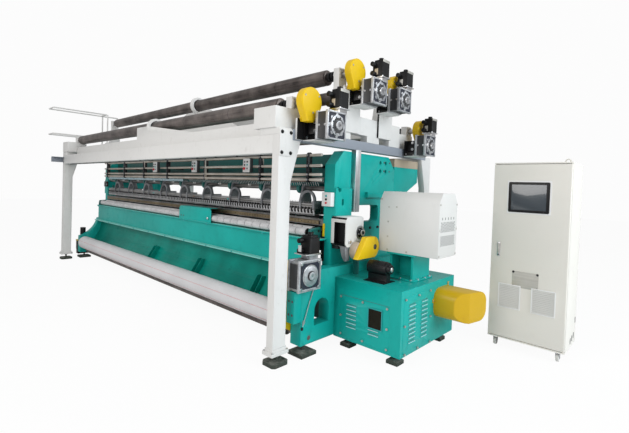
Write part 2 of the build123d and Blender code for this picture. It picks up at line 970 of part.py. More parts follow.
with BuildPart() as frame_legs:
    for end in (-1, 1):
        with BuildSketch(across(min(end * frame_in, end * leg_out))):
            with Locations(((frame_front + frame_rear) / 2, (leg_low + frame_low) / 2)):
                Rectangle(frame_rear - frame_front, frame_low - leg_low)
        extrude(amount=leg_out - frame_in)
    with BuildSketch(across(leg_in)):
        with BuildLine():
            Polyline(
                (frame_front, leg_low),
                (leg_front, leg_low),
                (leg_front, leg_shelf),
                (leg_step, leg_shelf),
                (leg_step, frame_low),
                (frame_front, frame_low),
                close=True,
            )
        make_face()
        with Locations((arch_mid, arch_spring)):
            Circle(arch_r, mode=Mode.SUBTRACT)
        with Locations((arch_mid, (arch_low + arch_spring) / 2)):
            Rectangle(2 * arch_r, arch_spring - arch_low, mode=Mode.SUBTRACT)
    extrude(amount=leg_out - leg_in)
    with BuildSketch(across(-leg_out)):
        with BuildLine():
            Polyline(
                (leg_front, leg_toe_top),
                (leg_front, leg_low),
                (frame_front, leg_low),
                (frame_front, frame_low),
                (i_beam_front + i_beam_lip, frame_low),
            )
            ThreePointArc(
                (i_beam_front + i_beam_lip, frame_low),
                (leg_curve_y, leg_curve_z),
                (leg_front, leg_toe_top),
            )
        make_face()
    extrude(amount=leg_out - leg_in)
    for axle_y, axle_z in ((cloth_y, cloth_z), (press_y, press_z)):
        with BuildSketch(across(-leg_out)):
            with Locations((axle_y, axle_z)):
                Circle(axle_r + shaft_gap)
        extrude(amount=2 * leg_out, mode=Mode.SUBTRACT)
frame_legs.part.label = "frame_legs"
export_step(frame_legs.part, "parts/frame_legs.step")

leg_mid = (leg_in + leg_out) / 2
leg_pad_spots = [(end * leg_mid, row) for end in (-1, 1) for row in (leg_pad_y, leg_pad_rear)]
base_pad_spots = [
    (pad_x, pad_y)
    for pad_x in (leg_out + base_pad_inset, base_right - base_pad_inset)
    for pad_y in (frame_front + base_pad_inset, base_rear - base_pad_inset)
]
with BuildPart() as frame_feet:
    with BuildSketch(level(0)):
        with Locations(*leg_pad_spots):
            Rectangle(leg_pad_w, leg_pad_d)
        with Locations(*base_pad_spots):
            Rectangle(base_pad_size, base_pad_size)
    extrude(amount=pad_h)
    chamfer(frame_feet.faces().group_by(Axis.Z)[-1].edges(), length=pad_edge)
    with BuildSketch(level(pad_h)):
        with Locations(*leg_pad_spots):
            Circle(screw_r)
    extrude(amount=leg_low - pad_h)
    with BuildSketch(level(pad_h)):
        with Locations(*base_pad_spots):
            Circle(screw_r)
    extrude(amount=base_low - pad_h)
frame_feet.part.label = "frame_feet"
export_step(frame_feet.part, "parts/frame_feet.step")

with BuildPart() as top_beam:
    with BuildSketch(across(-frame_in)):
        with Locations(((top_beam_front + top_beam_rear) / 2, (top_beam_low + top_beam_top) / 2)):
            Rectangle(top_beam_rear - top_beam_front, top_beam_top - top_beam_low)
    extrude(amount=2 * frame_in)
top_beam.part.label = "top_beam"
export_step(top_beam.part, "parts/top_beam.step")

with BuildPart() as front_channel:
    with BuildSketch(across(-leg_in)):
        with Locations((i_beam_web + i_beam_t / 2, (i_beam_low + i_beam_top) / 2)):
            Rectangle(i_beam_t, i_beam_top - i_beam_low)
        with Locations(((i_beam_front + frame_front) / 2, i_beam_top - i_beam_t / 2)):
            Rectangle(frame_front - i_beam_front, i_beam_t)
        with Locations(((i_beam_front - i_beam_lip + frame_front) / 2, i_beam_low + i_beam_t / 2)):
            Rectangle(frame_front - i_beam_front + i_beam_lip, i_beam_t)
    extrude(amount=2 * leg_in)
front_channel.part.label = "front_channel"
export_step(front_channel.part, "parts/front_channel.step")

with BuildPart() as fabric_tray:
    with BuildSketch(across(-leg_in)):
        with BuildLine():
            ThreePointArc(
                (tray_top_y, i_beam_low - tray_t / 2),
                (tray_mid_y, tray_mid_z),
                (tray_end_y, tray_end_z),
            )
        trace(line_width=tray_t)
    extrude(amount=2 * leg_in)
    for rib_x in tray_rib_xs:
        for rib_side in (-1, 1):
            with BuildSketch(across(rib_x + rib_side * tray_rib_gap / 2 - tray_rib_t / 2)):
                with BuildLine():
                    Polyline(
                        (tray_mid_y, tray_mid_z),
                        (tray_mid_y + tray_t, tray_rib_top),
                        (tray_mid_y - tray_rib_out, tray_rib_top),
                        (tray_end_y, tray_rib_low + tray_rib_out),
                        (tray_end_y + tray_rib_out, tray_rib_low),
                        close=True,
                    )
                make_face()
            extrude(amount=tray_rib_t)
fabric_tray.part.label = "fabric_tray"
export_step(fabric_tray.part, "parts/fabric_tray.step")

with BuildPart() as stretcher:
    with BuildSketch(across(-frame_in)):
        with Locations((stretcher_y, stretcher_low + stretcher_h / 2)):
            Rectangle(stretcher_w, stretcher_h)
    extrude(amount=2 * frame_in)
stretcher.part.label = "stretcher"
export_step(stretcher.part, "parts/stretcher.step")

with BuildPart() as rear_deck:
    with BuildSketch(level(deck_z)):
        with Locations((0, (frame_rear + deck_rear) / 2)):
            Rectangle(2 * (frame_in + frame_t), deck_rear - frame_rear)
    extrude(amount=deck_t)
rear_deck.part.label = "rear_deck"
export_step(rear_deck.part, "parts/rear_deck.step")

with BuildPart() as deck_supports:
    for end in (-1, 1):
        with BuildSketch(across(min(end * frame_in, end * (frame_in + frame_t)))):
            with BuildLine():
                Polyline(
                    (frame_rear, deck_arm_low),
                    (frame_rear, deck_z),
                    (deck_rear, deck_z),
                    (deck_rear, deck_beam_low + deck_t),
                    close=True,
                )
            make_face()
        extrude(amount=frame_t)
    with BuildSketch(across(-frame_in)):
        with Locations(((deck_beam_front + deck_beam_rear) / 2, (deck_beam_low + deck_z) / 2)):
            Rectangle(deck_beam_rear - deck_beam_front, deck_z - deck_beam_low)
    extrude(amount=2 * frame_in)
deck_supports.part.label = "deck_supports"
export_step(deck_supports.part, "parts/deck_supports.step")

stop_rail_zs = [top_beam_low + rise for rise in stop_rail_rises]
clamp_reach = frame_in - stop_clamp_inset
clamp_w = 4 * stop_rail_r
clamp_h = stop_rail_zs[-1] - stop_rail_zs[0] + clamp_w
with BuildPart() as stop_rails:
    with BuildSketch(across(-frame_in)):
        with Locations(*[(stop_rail_y, rail_z) for rail_z in stop_rail_zs]):
            Circle(stop_rail_r)
    extrude(amount=2 * frame_in)
    for clamp_x in (-clamp_reach, *stop_clamp_xs, clamp_reach):
        with BuildSketch(across(clamp_x - stop_clamp_t / 2)):
            with Locations((stop_rail_y, (stop_rail_zs[0] + stop_rail_zs[-1]) / 2)):
                SlotOverall(clamp_h, clamp_w, rotation=90)
            with Locations(((stop_rail_y + top_beam_front) / 2, stop_rail_zs[2])):
                Rectangle(top_beam_front - stop_rail_y, 2 * stop_rail_r)
        extrude(amount=stop_clamp_t)
stop_rails.part.label = "stop_rails"
export_step(stop_rails.part, "parts/stop_rails.step")

button_front = stop_rail_y - stop_rail_r - seat_gap
with BuildPart() as button_boxes:
    with BuildSketch(along(button_front)):
        for button_x in button_xs:
            with Locations((button_x, top_beam_low + button_rise)):
                RectangleRounded(button_w, button_h, pad_edge)
    extrude(amount=button_d)
    with BuildSketch(along(frame_front - seat_gap)):
        with Locations((pendant_x, pendant_z)):
            RectangleRounded(button_w, button_h, pad_edge)
    extrude(amount=button_d)
button_boxes.part.label = "button_boxes"
export_step(button_boxes.part, "parts/button_boxes.step")

hanger_reach = frame_in - hanger_inset
hanger_pitch = 2 * hanger_reach / (hanger_count - 1)
hanger_xs = [n * hanger_pitch - hanger_reach for n in range(hanger_count)]
with BuildPart() as hanger_arms:
    for hanger_x in hanger_xs:
        with BuildSketch(across(hanger_x - hanger_t / 2)):
            with Locations((rocker_y, rocker_z)):
                Circle(hanger_r)
            with Locations(((top_beam_front + top_beam_rear) / 2, top_beam_low - hanger_foot_h / 2)):
                Rectangle((top_beam_rear - top_beam_front) / 2, hanger_foot_h)
            make_hull()
            with Locations((rocker_y, rocker_z)):
                Circle(rocker_r + shaft_gap, mode=Mode.SUBTRACT)
        extrude(amount=hanger_t)
hanger_arms.part.label = "hanger_arms"
export_step(hanger_arms.part, "parts/hanger_arms.step")

yarn_rail_z = top_beam_low + yarn_rail_rise
with BuildPart() as yarn_rail:
    with BuildSketch(across(-frame_in)):
        with Locations((yarn_rail_y, yarn_rail_z + yarn_rail_h / 2)):
            Rectangle(yarn_rail_t, yarn_rail_h)
    extrude(amount=2 * frame_in)
    for hanger_x in hanger_xs:
        with BuildSketch(across(hanger_x - yarn_arm_t / 2)):
            with BuildLine():
                Polyline(
                    (yarn_rail_y, yarn_rail_z),
                    (yarn_rail_y, yarn_rail_z + yarn_rail_h),
                    (top_beam_front, yarn_rail_z + yarn_rail_h),
                    (top_beam_front, yarn_rail_z),
                    close=True,
                )
            make_face()
        extrude(amount=yarn_arm_t)
yarn_rail.part.label = "yarn_rail"
export_step(yarn_rail.part, "parts/yarn_rail.step")

with BuildPart() as rocker_shaft:
    with BuildSketch(across(-frame_in - frame_t)):
        with Locations((rocker_y, rocker_z)):
            Circle(rocker_r)
    extrude(amount=2 * (frame_in + frame_t))
rocker_shaft.part.label = "rocker_shaft"
export_step(rocker_shaft.part, "parts/rocker_shaft.step")

# Each rocker arm ends in a comb with one slot for every guide bar, and an arch ties it to a second comb
comb_w = (guide_bar_count - 1) * guide_bar_pitch + guide_bar_t + 2 * comb_wall
comb_low = guide_top - comb_deep
guide_bar_ys = [rocker_y + (n - (guide_bar_count - 1) / 2) * guide_bar_pitch for n in range(guide_bar_count)]
with BuildPart() as rocker_arms:
    for hanger_x in hanger_xs:
        with BuildSketch(across(hanger_x + arm_shift - arm_t / 2)):
            with Locations((rocker_y, rocker_z)):
                Circle(arm_r)
            with Locations((rocker_y, guide_top + comb_roof / 2)):
                Rectangle(comb_w, comb_roof)
            make_hull()
            with Locations((rocker_y, (comb_low + guide_top + comb_roof) / 2)):
                Rectangle(comb_w, comb_deep + comb_roof)
            with Locations((rocker_y, rocker_z)):
                Circle(rocker_r, mode=Mode.SUBTRACT)
            with Locations(*[(bar_y, (comb_low + guide_top + seat_gap) / 2) for bar_y in guide_bar_ys]):
                Rectangle(guide_bar_t + 2 * seat_gap, comb_deep + seat_gap, mode=Mode.SUBTRACT)
        extrude(amount=arm_t)
        with BuildSketch(across(hanger_x + arm_shift + arch_span - arm_t / 2)):
            with Locations((rocker_y, (comb_low + guide_top + comb_roof) / 2)):
                Rectangle(comb_w, comb_deep + comb_roof)
            with Locations(*[(bar_y, (comb_low + guide_top + seat_gap) / 2) for bar_y in guide_bar_ys]):
                Rectangle(guide_bar_t + 2 * seat_gap, comb_deep + seat_gap, mode=Mode.SUBTRACT)
        extrude(amount=arm_t)
        arch_mid_x = hanger_x + arm_shift + arch_span / 2
        with BuildSketch(along(arch_y + arch_t / 2)):
            with Locations((arch_mid_x, guide_top + comb_roof)):
                Circle((arch_span + arch_band) / 2)
                Circle((arch_span - arch_band) / 2, mode=Mode.SUBTRACT)
            with Locations((arch_mid_x, guide_top + comb_roof - arch_span)):
                Rectangle(2 * arch_span, 2 * arch_span, mode=Mode.SUBTRACT)
        extrude(amount=arch_t)
rocker_arms.part.label = "rocker_arms"
export_step(rocker_arms.part, "parts/rocker_arms.step")

guide_reach = frame_in - guide_inset
with BuildPart() as guide_bars:
    with BuildSketch(across(-guide_reach)):
        with Locations(*[(bar_y, (guide_low + guide_top) / 2) for bar_y in guide_bar_ys]):
            Rectangle(guide_bar_t, guide_top - guide_low)
    extrude(amount=2 * guide_reach)
guide_bars.part.label = "guide_bars"
export_step(guide_bars.part, "parts/guide_bars.step")

needle_reach = frame_in - seat_gap
with BuildPart() as needle_bar:
    with BuildSketch(across(-needle_reach)):
        with Locations((needle_y, needle_low + needle_h / 2)):
            Rectangle(needle_w, needle_h)
        with Locations((needle_y - needle_w / 2, needle_low + needle_h - needle_lip / 2)):
            Rectangle(2 * needle_lip, needle_lip)
    extrude(amount=2 * needle_reach)
needle_bar.part.label = "needle_bar"
export_step(needle_bar.part, "parts/needle_bar.step")

takedown_spots = {
    "take_down_roller_front": (takedown_front_y, takedown_front_z),
    "take_down_roller_rear": (takedown_rear_y, takedown_rear_z),
}
takedown_pin_end = takedown_plate_x + takedown_plate_t
for roller_name, spot in takedown_spots.items():
    with BuildPart() as take_down_roller:
        with BuildSketch(across(-takedown_pin_end)):
            with Locations(spot):
                Circle(takedown_pin_r)
        extrude(amount=2 * takedown_pin_end)
        with BuildSketch(across(-takedown_end)):
            with Locations(spot):
                Circle(takedown_r)
        extrude(amount=2 * takedown_end)
    take_down_roller.part.label = roller_name
    export_step(take_down_roller.part, f"parts/{roller_name}.step")

with BuildPart() as take_down_plates:
    for end in (-1, 1):
        with BuildSketch(across(min(end * takedown_plate_x, end * takedown_pin_end))):
            with BuildLine():
                Polyline(
                    (i_beam_front, i_beam_top),
                    (takedown_front_y - takedown_r, takedown_front_z + takedown_r),
                    (takedown_rear_y, takedown_plate_top),
                    (frame_front, takedown_plate_top),
                    (frame_front, i_beam_top),
                    close=True,
                )
            make_face()
            with Locations(*takedown_spots.values()):
                Circle(takedown_pin_r + shaft_gap, mode=Mode.SUBTRACT)
        extrude(amount=takedown_plate_t)
take_down_plates.part.label = "take_down_plates"
export_step(take_down_plates.part, "parts/take_down_plates.step")

roller_cover_top = i_beam_top + roller_cover_h
with BuildPart() as roller_cover:
    with BuildSketch(along(i_beam_front)):
        with Locations(((cover_left + cover_right) / 2, i_beam_top)):
            RectangleRounded(cover_right - cover_left, 2 * roller_cover_h, roller_cover_round)
        with Locations(((cover_left + cover_right) / 2, i_beam_top - roller_cover_h / 2)):
            Rectangle(cover_right - cover_left, roller_cover_h, mode=Mode.SUBTRACT)
    extrude(amount=-roller_cover_t)
    with BuildSketch(level(roller_cover_top)):
        with Locations(((cover_left + cover_right) / 2, i_beam_front + roller_cover_d / 2)):
            Rectangle(cover_right - cover_left - 2 * roller_cover_round, roller_cover_d)
    extrude(amount=-roller_cover_t)
roller_cover.part.label = "roller_cover"
export_step(roller_cover.part, "parts/roller_cover.step")

for roller_name, spot, radius in (
    ("cloth_roll", (cloth_y, cloth_z), cloth_r),
    ("press_roller", (press_y, press_z), press_r),
):
    with BuildPart() as take_up_roller:
        with BuildSketch(across(-leg_out)):
            with Locations(spot):
                Circle(axle_r)
        extrude(amount=2 * leg_out)
        with BuildSketch(across(-cloth_end)):
            with Locations(spot):
                Circle(radius)
        extrude(amount=2 * cloth_end)
    take_up_roller.part.label = roller_name
    export_step(take_up_roller.part, f"parts/{roller_name}.step")

with BuildPart() as take_up_bracket:
    with BuildSketch(across(take_up_x)):
        with Locations(((bracket_front + leg_front) / 2, (bracket_low + leg_shelf) / 2)):
            Rectangle(leg_front - bracket_front, leg_shelf - bracket_low)
    extrude(amount=leg_out - take_up_x)
take_up_bracket.part.label = "take_up_bracket"
export_step(take_up_bracket.part, "parts/take_up_bracket.step")

take_up_y = bracket_front + take_up_size / 2
with BuildPart() as take_up_gearbox:
    add(worm_gearbox(take_up_x, take_up_y, leg_shelf + take_up_size / 2, take_up_size, take_up_len))
take_up_gearbox.part.label = "take_up_gearbox"
export_step(take_up_gearbox.part, "parts/take_up_gearbox.step")

take_up_top = leg_shelf + take_up_size
with BuildPart() as take_up_motor:
    motor_spot = (take_up_x + take_up_len / 2, take_up_y + take_up_motor_dy)
    add(servo_motor(*motor_spot, take_up_top, take_up_motor_size, take_up_motor_h))
take_up_motor.part.label = "take_up_motor"
export_step(take_up_motor.part, "parts/take_up_motor.step")

with BuildPart() as chain_cover:
    with BuildSketch(across(chain_cover_x)):
        with Locations((cloth_y, cloth_z), (take_up_y, leg_shelf + take_up_size / 2)):
            Circle(chain_cover_r)
        make_hull()
        with Locations((cloth_y, cloth_z)):
            Circle(axle_r + shaft_gap, mode=Mode.SUBTRACT)
    extrude(amount=chain_cover_t)
    with BuildSketch(across(chain_cover_x + chain_cover_t)):
        with Locations((take_up_y, leg_shelf + take_up_size / 2)):
            Circle(boss_r)
    extrude(amount=take_up_x - chain_cover_x - chain_cover_t)
    for plate_top, plate_h, plate_left in (
        (left_box_low + left_box_h + left_plate_t, left_plate_t, -leg_out - left_box_w - left_plate_out),
        (left_box_low + left_box_h, left_plate_drop, -leg_out - left_box_w - left_plate_t),
    ):
        plate_right = -leg_out if plate_h == left_plate_t else plate_left + left_plate_t
        with BuildSketch(along(leg_front + left_box_d)):
            with Locations(((plate_left + plate_right) / 2, plate_top - plate_h / 2)):
                Rectangle(plate_right - plate_left, plate_h)
        extrude(amount=left_box_d)
chain_cover.part.label = "chain_cover"
export_step(chain_cover.part, "parts/chain_cover.step")

left_box_mid = leg_front + left_box_d / 2
with BuildPart() as left_take_up_drive:
    with BuildSketch(across(-leg_out - left_box_w)):
        with Locations((left_box_mid, left_box_low + left_box_h / 2)):
            RectangleRounded(left_box_d, left_box_h, pad_edge)
    extrude(amount=left_box_w)
    with BuildSketch(level(left_box_low + left_box_h + left_plate_t)):
        with Locations((-leg_out - left_motor_r, left_box_mid)):
            Circle(left_motor_r - motor_edge)
    extrude(amount=left_motor_h)
left_take_up_drive.part.label = "left_take_up_drive"
export_step(left_take_up_drive.part, "parts/left_take_up_drive.step")

base_mid = ((leg_out + base_right) / 2, (frame_front + base_rear) / 2)
window_middle = (base_window_left + base_window_w / 2, base_window_low + base_window_h / 2)
front_louvres = [(louvre_left, louvre_low + n * louvre_pitch) for n in range(louvre_count)]
front_louvres += [(base_window_left, louvre_pair_low + n * louvre_pitch) for n in range(2)]
side_louvre_zs = [side_louvre_low + n * side_louvre_pitch for n in range(side_louvre_count)]
with BuildPart() as base_cabinet:
    with BuildSketch(level(base_low)):
        with Locations(base_mid):
            Rectangle(base_right - leg_out, base_rear - frame_front)
    extrude(amount=base_top - base_low)
    with BuildSketch(along(frame_front)):
        with Locations(((panel_left + panel_right) / 2, (panel_low + panel_top) / 2)):
            Rectangle(panel_right - panel_left, panel_top - panel_low)
    extrude(amount=panel_t)
    with BuildSketch(across(base_right)):
        with Locations((side_panel_front + side_panel_w / 2, (base_low + side_panel_top) / 2)):
            Rectangle(side_panel_w, side_panel_top - base_low)
    extrude(amount=panel_t)
    with BuildSketch(along(frame_front - panel_t)):
        with Locations(window_middle):
            Rectangle(base_window_w, base_window_h)
    extrude(amount=-base_window_deep, mode=Mode.SUBTRACT)
    for louvre_x, louvre_z in front_louvres:
        with BuildSketch(across(louvre_x)):
            with BuildLine():
                Polyline(
                    (frame_front - panel_t, louvre_z),
                    (frame_front - panel_t - louvre_out, louvre_z),
                    (frame_front - panel_t, louvre_z + louvre_h),
                    close=True,
                )
            make_face()
        extrude(amount=louvre_w)
    for louvre_y in side_louvre_ys:
        with BuildSketch(along(louvre_y + louvre_w / 2)):
            for louvre_z in side_louvre_zs:
                with BuildLine():
                    Polyline(
                        (base_right + panel_t, louvre_z),
                        (base_right + panel_t + louvre_out, louvre_z),
                        (base_right + panel_t, louvre_z + louvre_h),
                        close=True,
                    )
                make_face()
        extrude(amount=louvre_w)
base_cabinet.part.label = "base_cabinet"
export_step(base_cabinet.part, "parts/base_cabinet.step")

with BuildPart() as motor_cover:
    with BuildSketch(across(base_right)):
        with Locations((motor_cover_y, motor_cover_z)):
            RectangleRounded(motor_cover_size, motor_cover_size, motor_cover_round)
    extrude(amount=motor_cover_len)
    cover_end = base_right + motor_cover_len
    cover_half = motor_cover_size / 2
    with BuildSketch(level(motor_cover_z - cover_half)):
        for edge in (-1, 1):
            with BuildLine():
                Polyline(
                    (cover_end - motor_cover_bevel, motor_cover_y + edge * cover_half),
                    (cover_end, motor_cover_y + edge * (cover_half - motor_cover_bevel)),
                    (cover_end, motor_cover_y + edge * cover_half),
                    close=True,
                )
            make_face()
    extrude(amount=motor_cover_size, mode=Mode.SUBTRACT)
    with BuildSketch(across(base_right)):
        for turn in (0, 90, 180):
            with Locations((motor_cover_y, motor_cover_z)):
                with PolarLocations(cover_half + lug_out / 2, 1, start_angle=turn):
                    Rectangle(2 * lug_out, lug_w)
    extrude(amount=lug_t)
motor_cover.part.label = "motor_cover"
export_step(motor_cover.part, "parts/motor_cover.step")

pedestal_mid = ((pedestal_left + pedestal_right) / 2, (pedestal_front + pedestal_rear) / 2)
pedestal_w = pedestal_right - pedestal_left
pedestal_d = pedestal_rear - pedestal_front
with BuildPart() as pedestal:
    for seat in (base_top, housing_low - i_beam_t):
        with BuildSketch(level(seat)):
            with Locations(pedestal_mid):
                Rectangle(pedestal_w + 2 * pedestal_wall, pedestal_d + 2 * pedestal_wall)
        extrude(amount=i_beam_t)
    with BuildSketch(level(base_top)):
        with Locations(pedestal_mid):
            Rectangle(pedestal_w, pedestal_d)
            Rectangle(pedestal_w - 2 * pedestal_wall, pedestal_d + pedestal_wall, mode=Mode.SUBTRACT)
            Rectangle(pedestal_w, pedestal_wall)
    extrude(amount=housing_low - base_top)
pedestal.part.label = "pedestal"
export_step(pedestal.part, "parts/pedestal.step")

with BuildPart() as pattern_housing:
    with BuildSketch(across(housing_left)):
        with BuildLine():
            Polyline(
                (housing_front, housing_low),
                (housing_front, housing_eave),
                (housing_front + housing_slope, housing_eave + housing_slope),
                (housing_rear - housing_slope, housing_eave + housing_slope),
                (housing_rear, housing_eave),
                (housing_rear, housing_low),
                close=True,
            )
        make_face()
    extrude(amount=housing_right - housing_left)
pattern_housing.part.label = "pattern_housing"
export_step(pattern_housing.part, "parts/pattern_housing.step")

casting_window_x = (casting_window_left + casting_right) / 2
casting_window_z = (casting_window_low + casting_window_top) / 2
with BuildPart() as crank_casting:
    with BuildSketch(across(frame_out)):
        with Locations(((frame_front + casting_rear) / 2, (casting_low + casting_top) / 2)):
            RectangleRounded(casting_rear - frame_front, casting_top - casting_low, casting_round)
    extrude(amount=casting_right - frame_out)
    with BuildSketch(along(frame_front)):
        with Locations((casting_window_x, casting_window_z)):
            Rectangle(
                casting_right - casting_window_left - 2 * motor_base_t,
                casting_window_top - casting_window_low,
            )
    extrude(amount=-casting_window_deep, mode=Mode.SUBTRACT)
    with BuildSketch(across(frame_out)):
        with Locations((crank_y, crank_z)):
            Circle(crank_pin_r + shaft_gap)
    extrude(amount=casting_right - frame_out, mode=Mode.SUBTRACT)
    with BuildSketch(along(casting_rear)):
        with BuildLine():
            Polyline(
                (casting_window_left, casting_low),
                (casting_right - casting_round, casting_low),
                (casting_right - casting_round, base_top),
                (casting_right - 2 * casting_round, base_top),
            )
            ThreePointArc(
                (casting_right - 2 * casting_round, base_top),
                (casting_right - 5 * casting_round / 2, (base_top + casting_low) / 2 + casting_round),
                (casting_window_left, casting_low),
            )
        make_face()
    extrude(amount=casting_rear - guard_plate_y - guard_plate_r)
crank_casting.part.label = "crank_casting"
export_step(crank_casting.part, "parts/crank_casting.step")

with BuildPart() as crank_hub:
    with BuildSketch(across(frame_out + seat_gap)):
        with Locations((crank_y, crank_z)):
            Circle(crank_pin_r)
    extrude(amount=casting_right - frame_out)
    with BuildSketch(across(casting_right + seat_gap)):
        with Locations((crank_y, crank_z)):
            Circle(crank_r)
    extrude(amount=crank_len)
crank_hub.part.label = "crank_hub"
export_step(crank_hub.part, "parts/crank_hub.step")

with BuildPart() as belt_plate:
    with BuildSketch(across(casting_right)):
        with Locations((guard_plate_y, guard_plate_z)):
            Circle(guard_plate_r)
    extrude(amount=belt_guard_x - casting_right)
belt_plate.part.label = "belt_plate"
export_step(belt_plate.part, "parts/belt_plate.step")

with BuildPart() as belt_guard:
    with BuildSketch(across(belt_guard_x)):
        with BuildLine():
            Polyline(
                (belt_guard_left, belt_guard_low),
                (belt_guard_crown, belt_guard_top),
                (belt_guard_y, belt_guard_top),
            )
            RadiusArc((belt_guard_y, belt_guard_top), (belt_guard_y, belt_guard_low), belt_guard_r + pad_edge)
            Line((belt_guard_y, belt_guard_low), (belt_guard_left, belt_guard_low))
        make_face()
        with Locations((belt_guard_y, belt_guard_z)):
            Circle(belt_hole_r, mode=Mode.SUBTRACT)
    extrude(amount=belt_guard_t)
belt_guard.part.label = "belt_guard"
export_step(belt_guard.part, "parts/belt_guard.step")

with BuildPart() as drive_motor:
    with BuildSketch(level(base_top)):
        with Locations(((motor_left + motor_right) / 2, motor_y)):
            Rectangle(motor_right - motor_left, motor_base_d)
    extrude(amount=motor_base_t)
    with BuildSketch(across(motor_left)):
        with Locations((motor_y, motor_z)):
            Circle(motor_r)
        with Locations((motor_y, (base_top + motor_z) / 2)):
            Rectangle(motor_r, motor_z - base_top)
    extrude(amount=motor_right - motor_left)
    with BuildSketch(across(motor_right)):
        with Locations((motor_y, motor_z)):
            Circle(motor_cap_r)
    extrude(amount=motor_cap_len)
drive_motor.part.label = "drive_motor"
export_step(drive_motor.part, "parts/drive_motor.step")

with BuildPart() as lift_profile:
    with BuildSketch(level(profile_low)):
        with Locations((frame_out + profile_w / 2, profile_y)):
            Rectangle(profile_w, profile_d)
    extrude(amount=channel_z - profile_low)
lift_profile.part.label = "lift_profile"
export_step(lift_profile.part, "parts/lift_profile.step")

# Control cabinet: the door turns on pins in the roof and floor lips
cab_right = cab_left + cab_w
cab_mid = (cab_left + cab_right) / 2
cab_rear = cab_front + cab_d
pin_x = cab_right - door_t / 2 - seat_gap
pin_y = cab_front + door_t / 2
with BuildPart() as cabinet_body:
    with BuildSketch(level(cab_low)):
        with Locations((cab_mid, (cab_front + cab_rear) / 2)):
            Rectangle(cab_w, cab_d)
    extrude(amount=cab_top - cab_low)
    with BuildSketch(level(cab_low + cab_wall)):
        with Locations((cab_mid, (cab_front + cab_rear) / 2 - cab_wall)):
            Rectangle(cab_w - 2 * cab_wall, cab_d)
        with Locations((cab_mid, cab_front + (door_t + door_gap) / 2)):
            Rectangle(cab_w, door_t + door_gap)
    extrude(amount=cab_top - cab_low - 2 * cab_wall, mode=Mode.SUBTRACT)
    with BuildSketch(level(cab_low)):
        with Locations((pin_x, pin_y)):
            Circle(door_pin_r + shaft_gap)
    extrude(amount=cab_top - cab_low, mode=Mode.SUBTRACT)
    with BuildSketch(along((cab_front + cab_rear) / 2)):
        with Locations((cab_mid, cab_top + eye_ring_r)):
            Circle(eye_ring_r + eye_wire_r)
            Circle(eye_ring_r - eye_wire_r, mode=Mode.SUBTRACT)
    extrude(amount=eye_wire_r, both=True)
cabinet_body.part.label = "cabinet_body"
export_step(cabinet_body.part, "parts/cabinet_body.step")

door_low = cab_low + cab_wall + door_gap
door_high = cab_top - cab_wall - door_gap
with BuildPart() as cabinet_door:
    with BuildSketch(level(door_low)):
        with Locations(((cab_left + pin_x) / 2, pin_y)):
            Rectangle(pin_x - cab_left, door_t)
        with Locations((pin_x, pin_y)):
            Circle(door_t / 2)
    extrude(amount=door_high - door_low)
    with BuildSketch(level(cab_low)):
        with Locations((pin_x, pin_y)):
            Circle(door_pin_r)
    extrude(amount=cab_top - cab_low)
cabinet_door.part.label = "cabinet_door"
export_step(cabinet_door.part, "parts/cabinet_door.step")

screen_spot = (cab_mid + screen_shift, cab_top - screen_drop)
vent_spots = [(cab_mid + side * vent_shift, cab_top - vent_drop) for side in (-1, 1)]
with BuildPart() as door_fittings:
    with BuildSketch(along(cab_front)):
        with Locations(screen_spot):
            Rectangle(screen_w, screen_h)
        with Locations((cab_left + handle_inset, cab_top - handle_drop)):
            RectangleRounded(handle_w, handle_h, pad_edge)
        with Locations(*vent_spots):
            Rectangle(vent_w, vent_h)
    extrude(amount=fitting_t)
    with BuildSketch(along(cab_front - fitting_t)):
        with Locations(screen_spot):
            Rectangle(screen_w - 2 * screen_rim, screen_h - 2 * screen_rim)
    extrude(amount=-screen_deep, mode=Mode.SUBTRACT)
    with BuildSketch(along(cab_front)):
        with Locations((cab_mid + screen_shift, cab_top - nameplate_drop)):
            Rectangle(nameplate_w, nameplate_h)
    extrude(amount=plate_t)
door_fittings.part.label = "door_fittings"
export_step(door_fittings.part, "parts/door_fittings.step")

castor_spots = [
    (castor_x, castor_y)
    for castor_x in (cab_left + castor_inset, cab_right - castor_inset)
    for castor_y in (cab_front + castor_inset, cab_rear - castor_inset)
]
with BuildPart() as castors:
    with BuildSketch(level(cab_low - pad_edge)):
        with Locations(*castor_spots):
            Rectangle(castor_plate, castor_plate)
    extrude(amount=pad_edge)
    for castor_x, castor_y in castor_spots:
        with BuildSketch(across(castor_x - castor_t / 2)):
            with Locations((castor_y, castor_r)):
                Circle(castor_r)
            with Locations((castor_y, (castor_r + cab_low) / 2 - pad_edge / 2)):
                Rectangle(castor_r, cab_low - castor_r - pad_edge)
        extrude(amount=castor_t)
castors.part.label = "castors"
export_step(castors.part, "parts/castors.step")
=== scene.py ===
import bpy, bmesh, json, math, random
from mathutils import Matrix, Vector


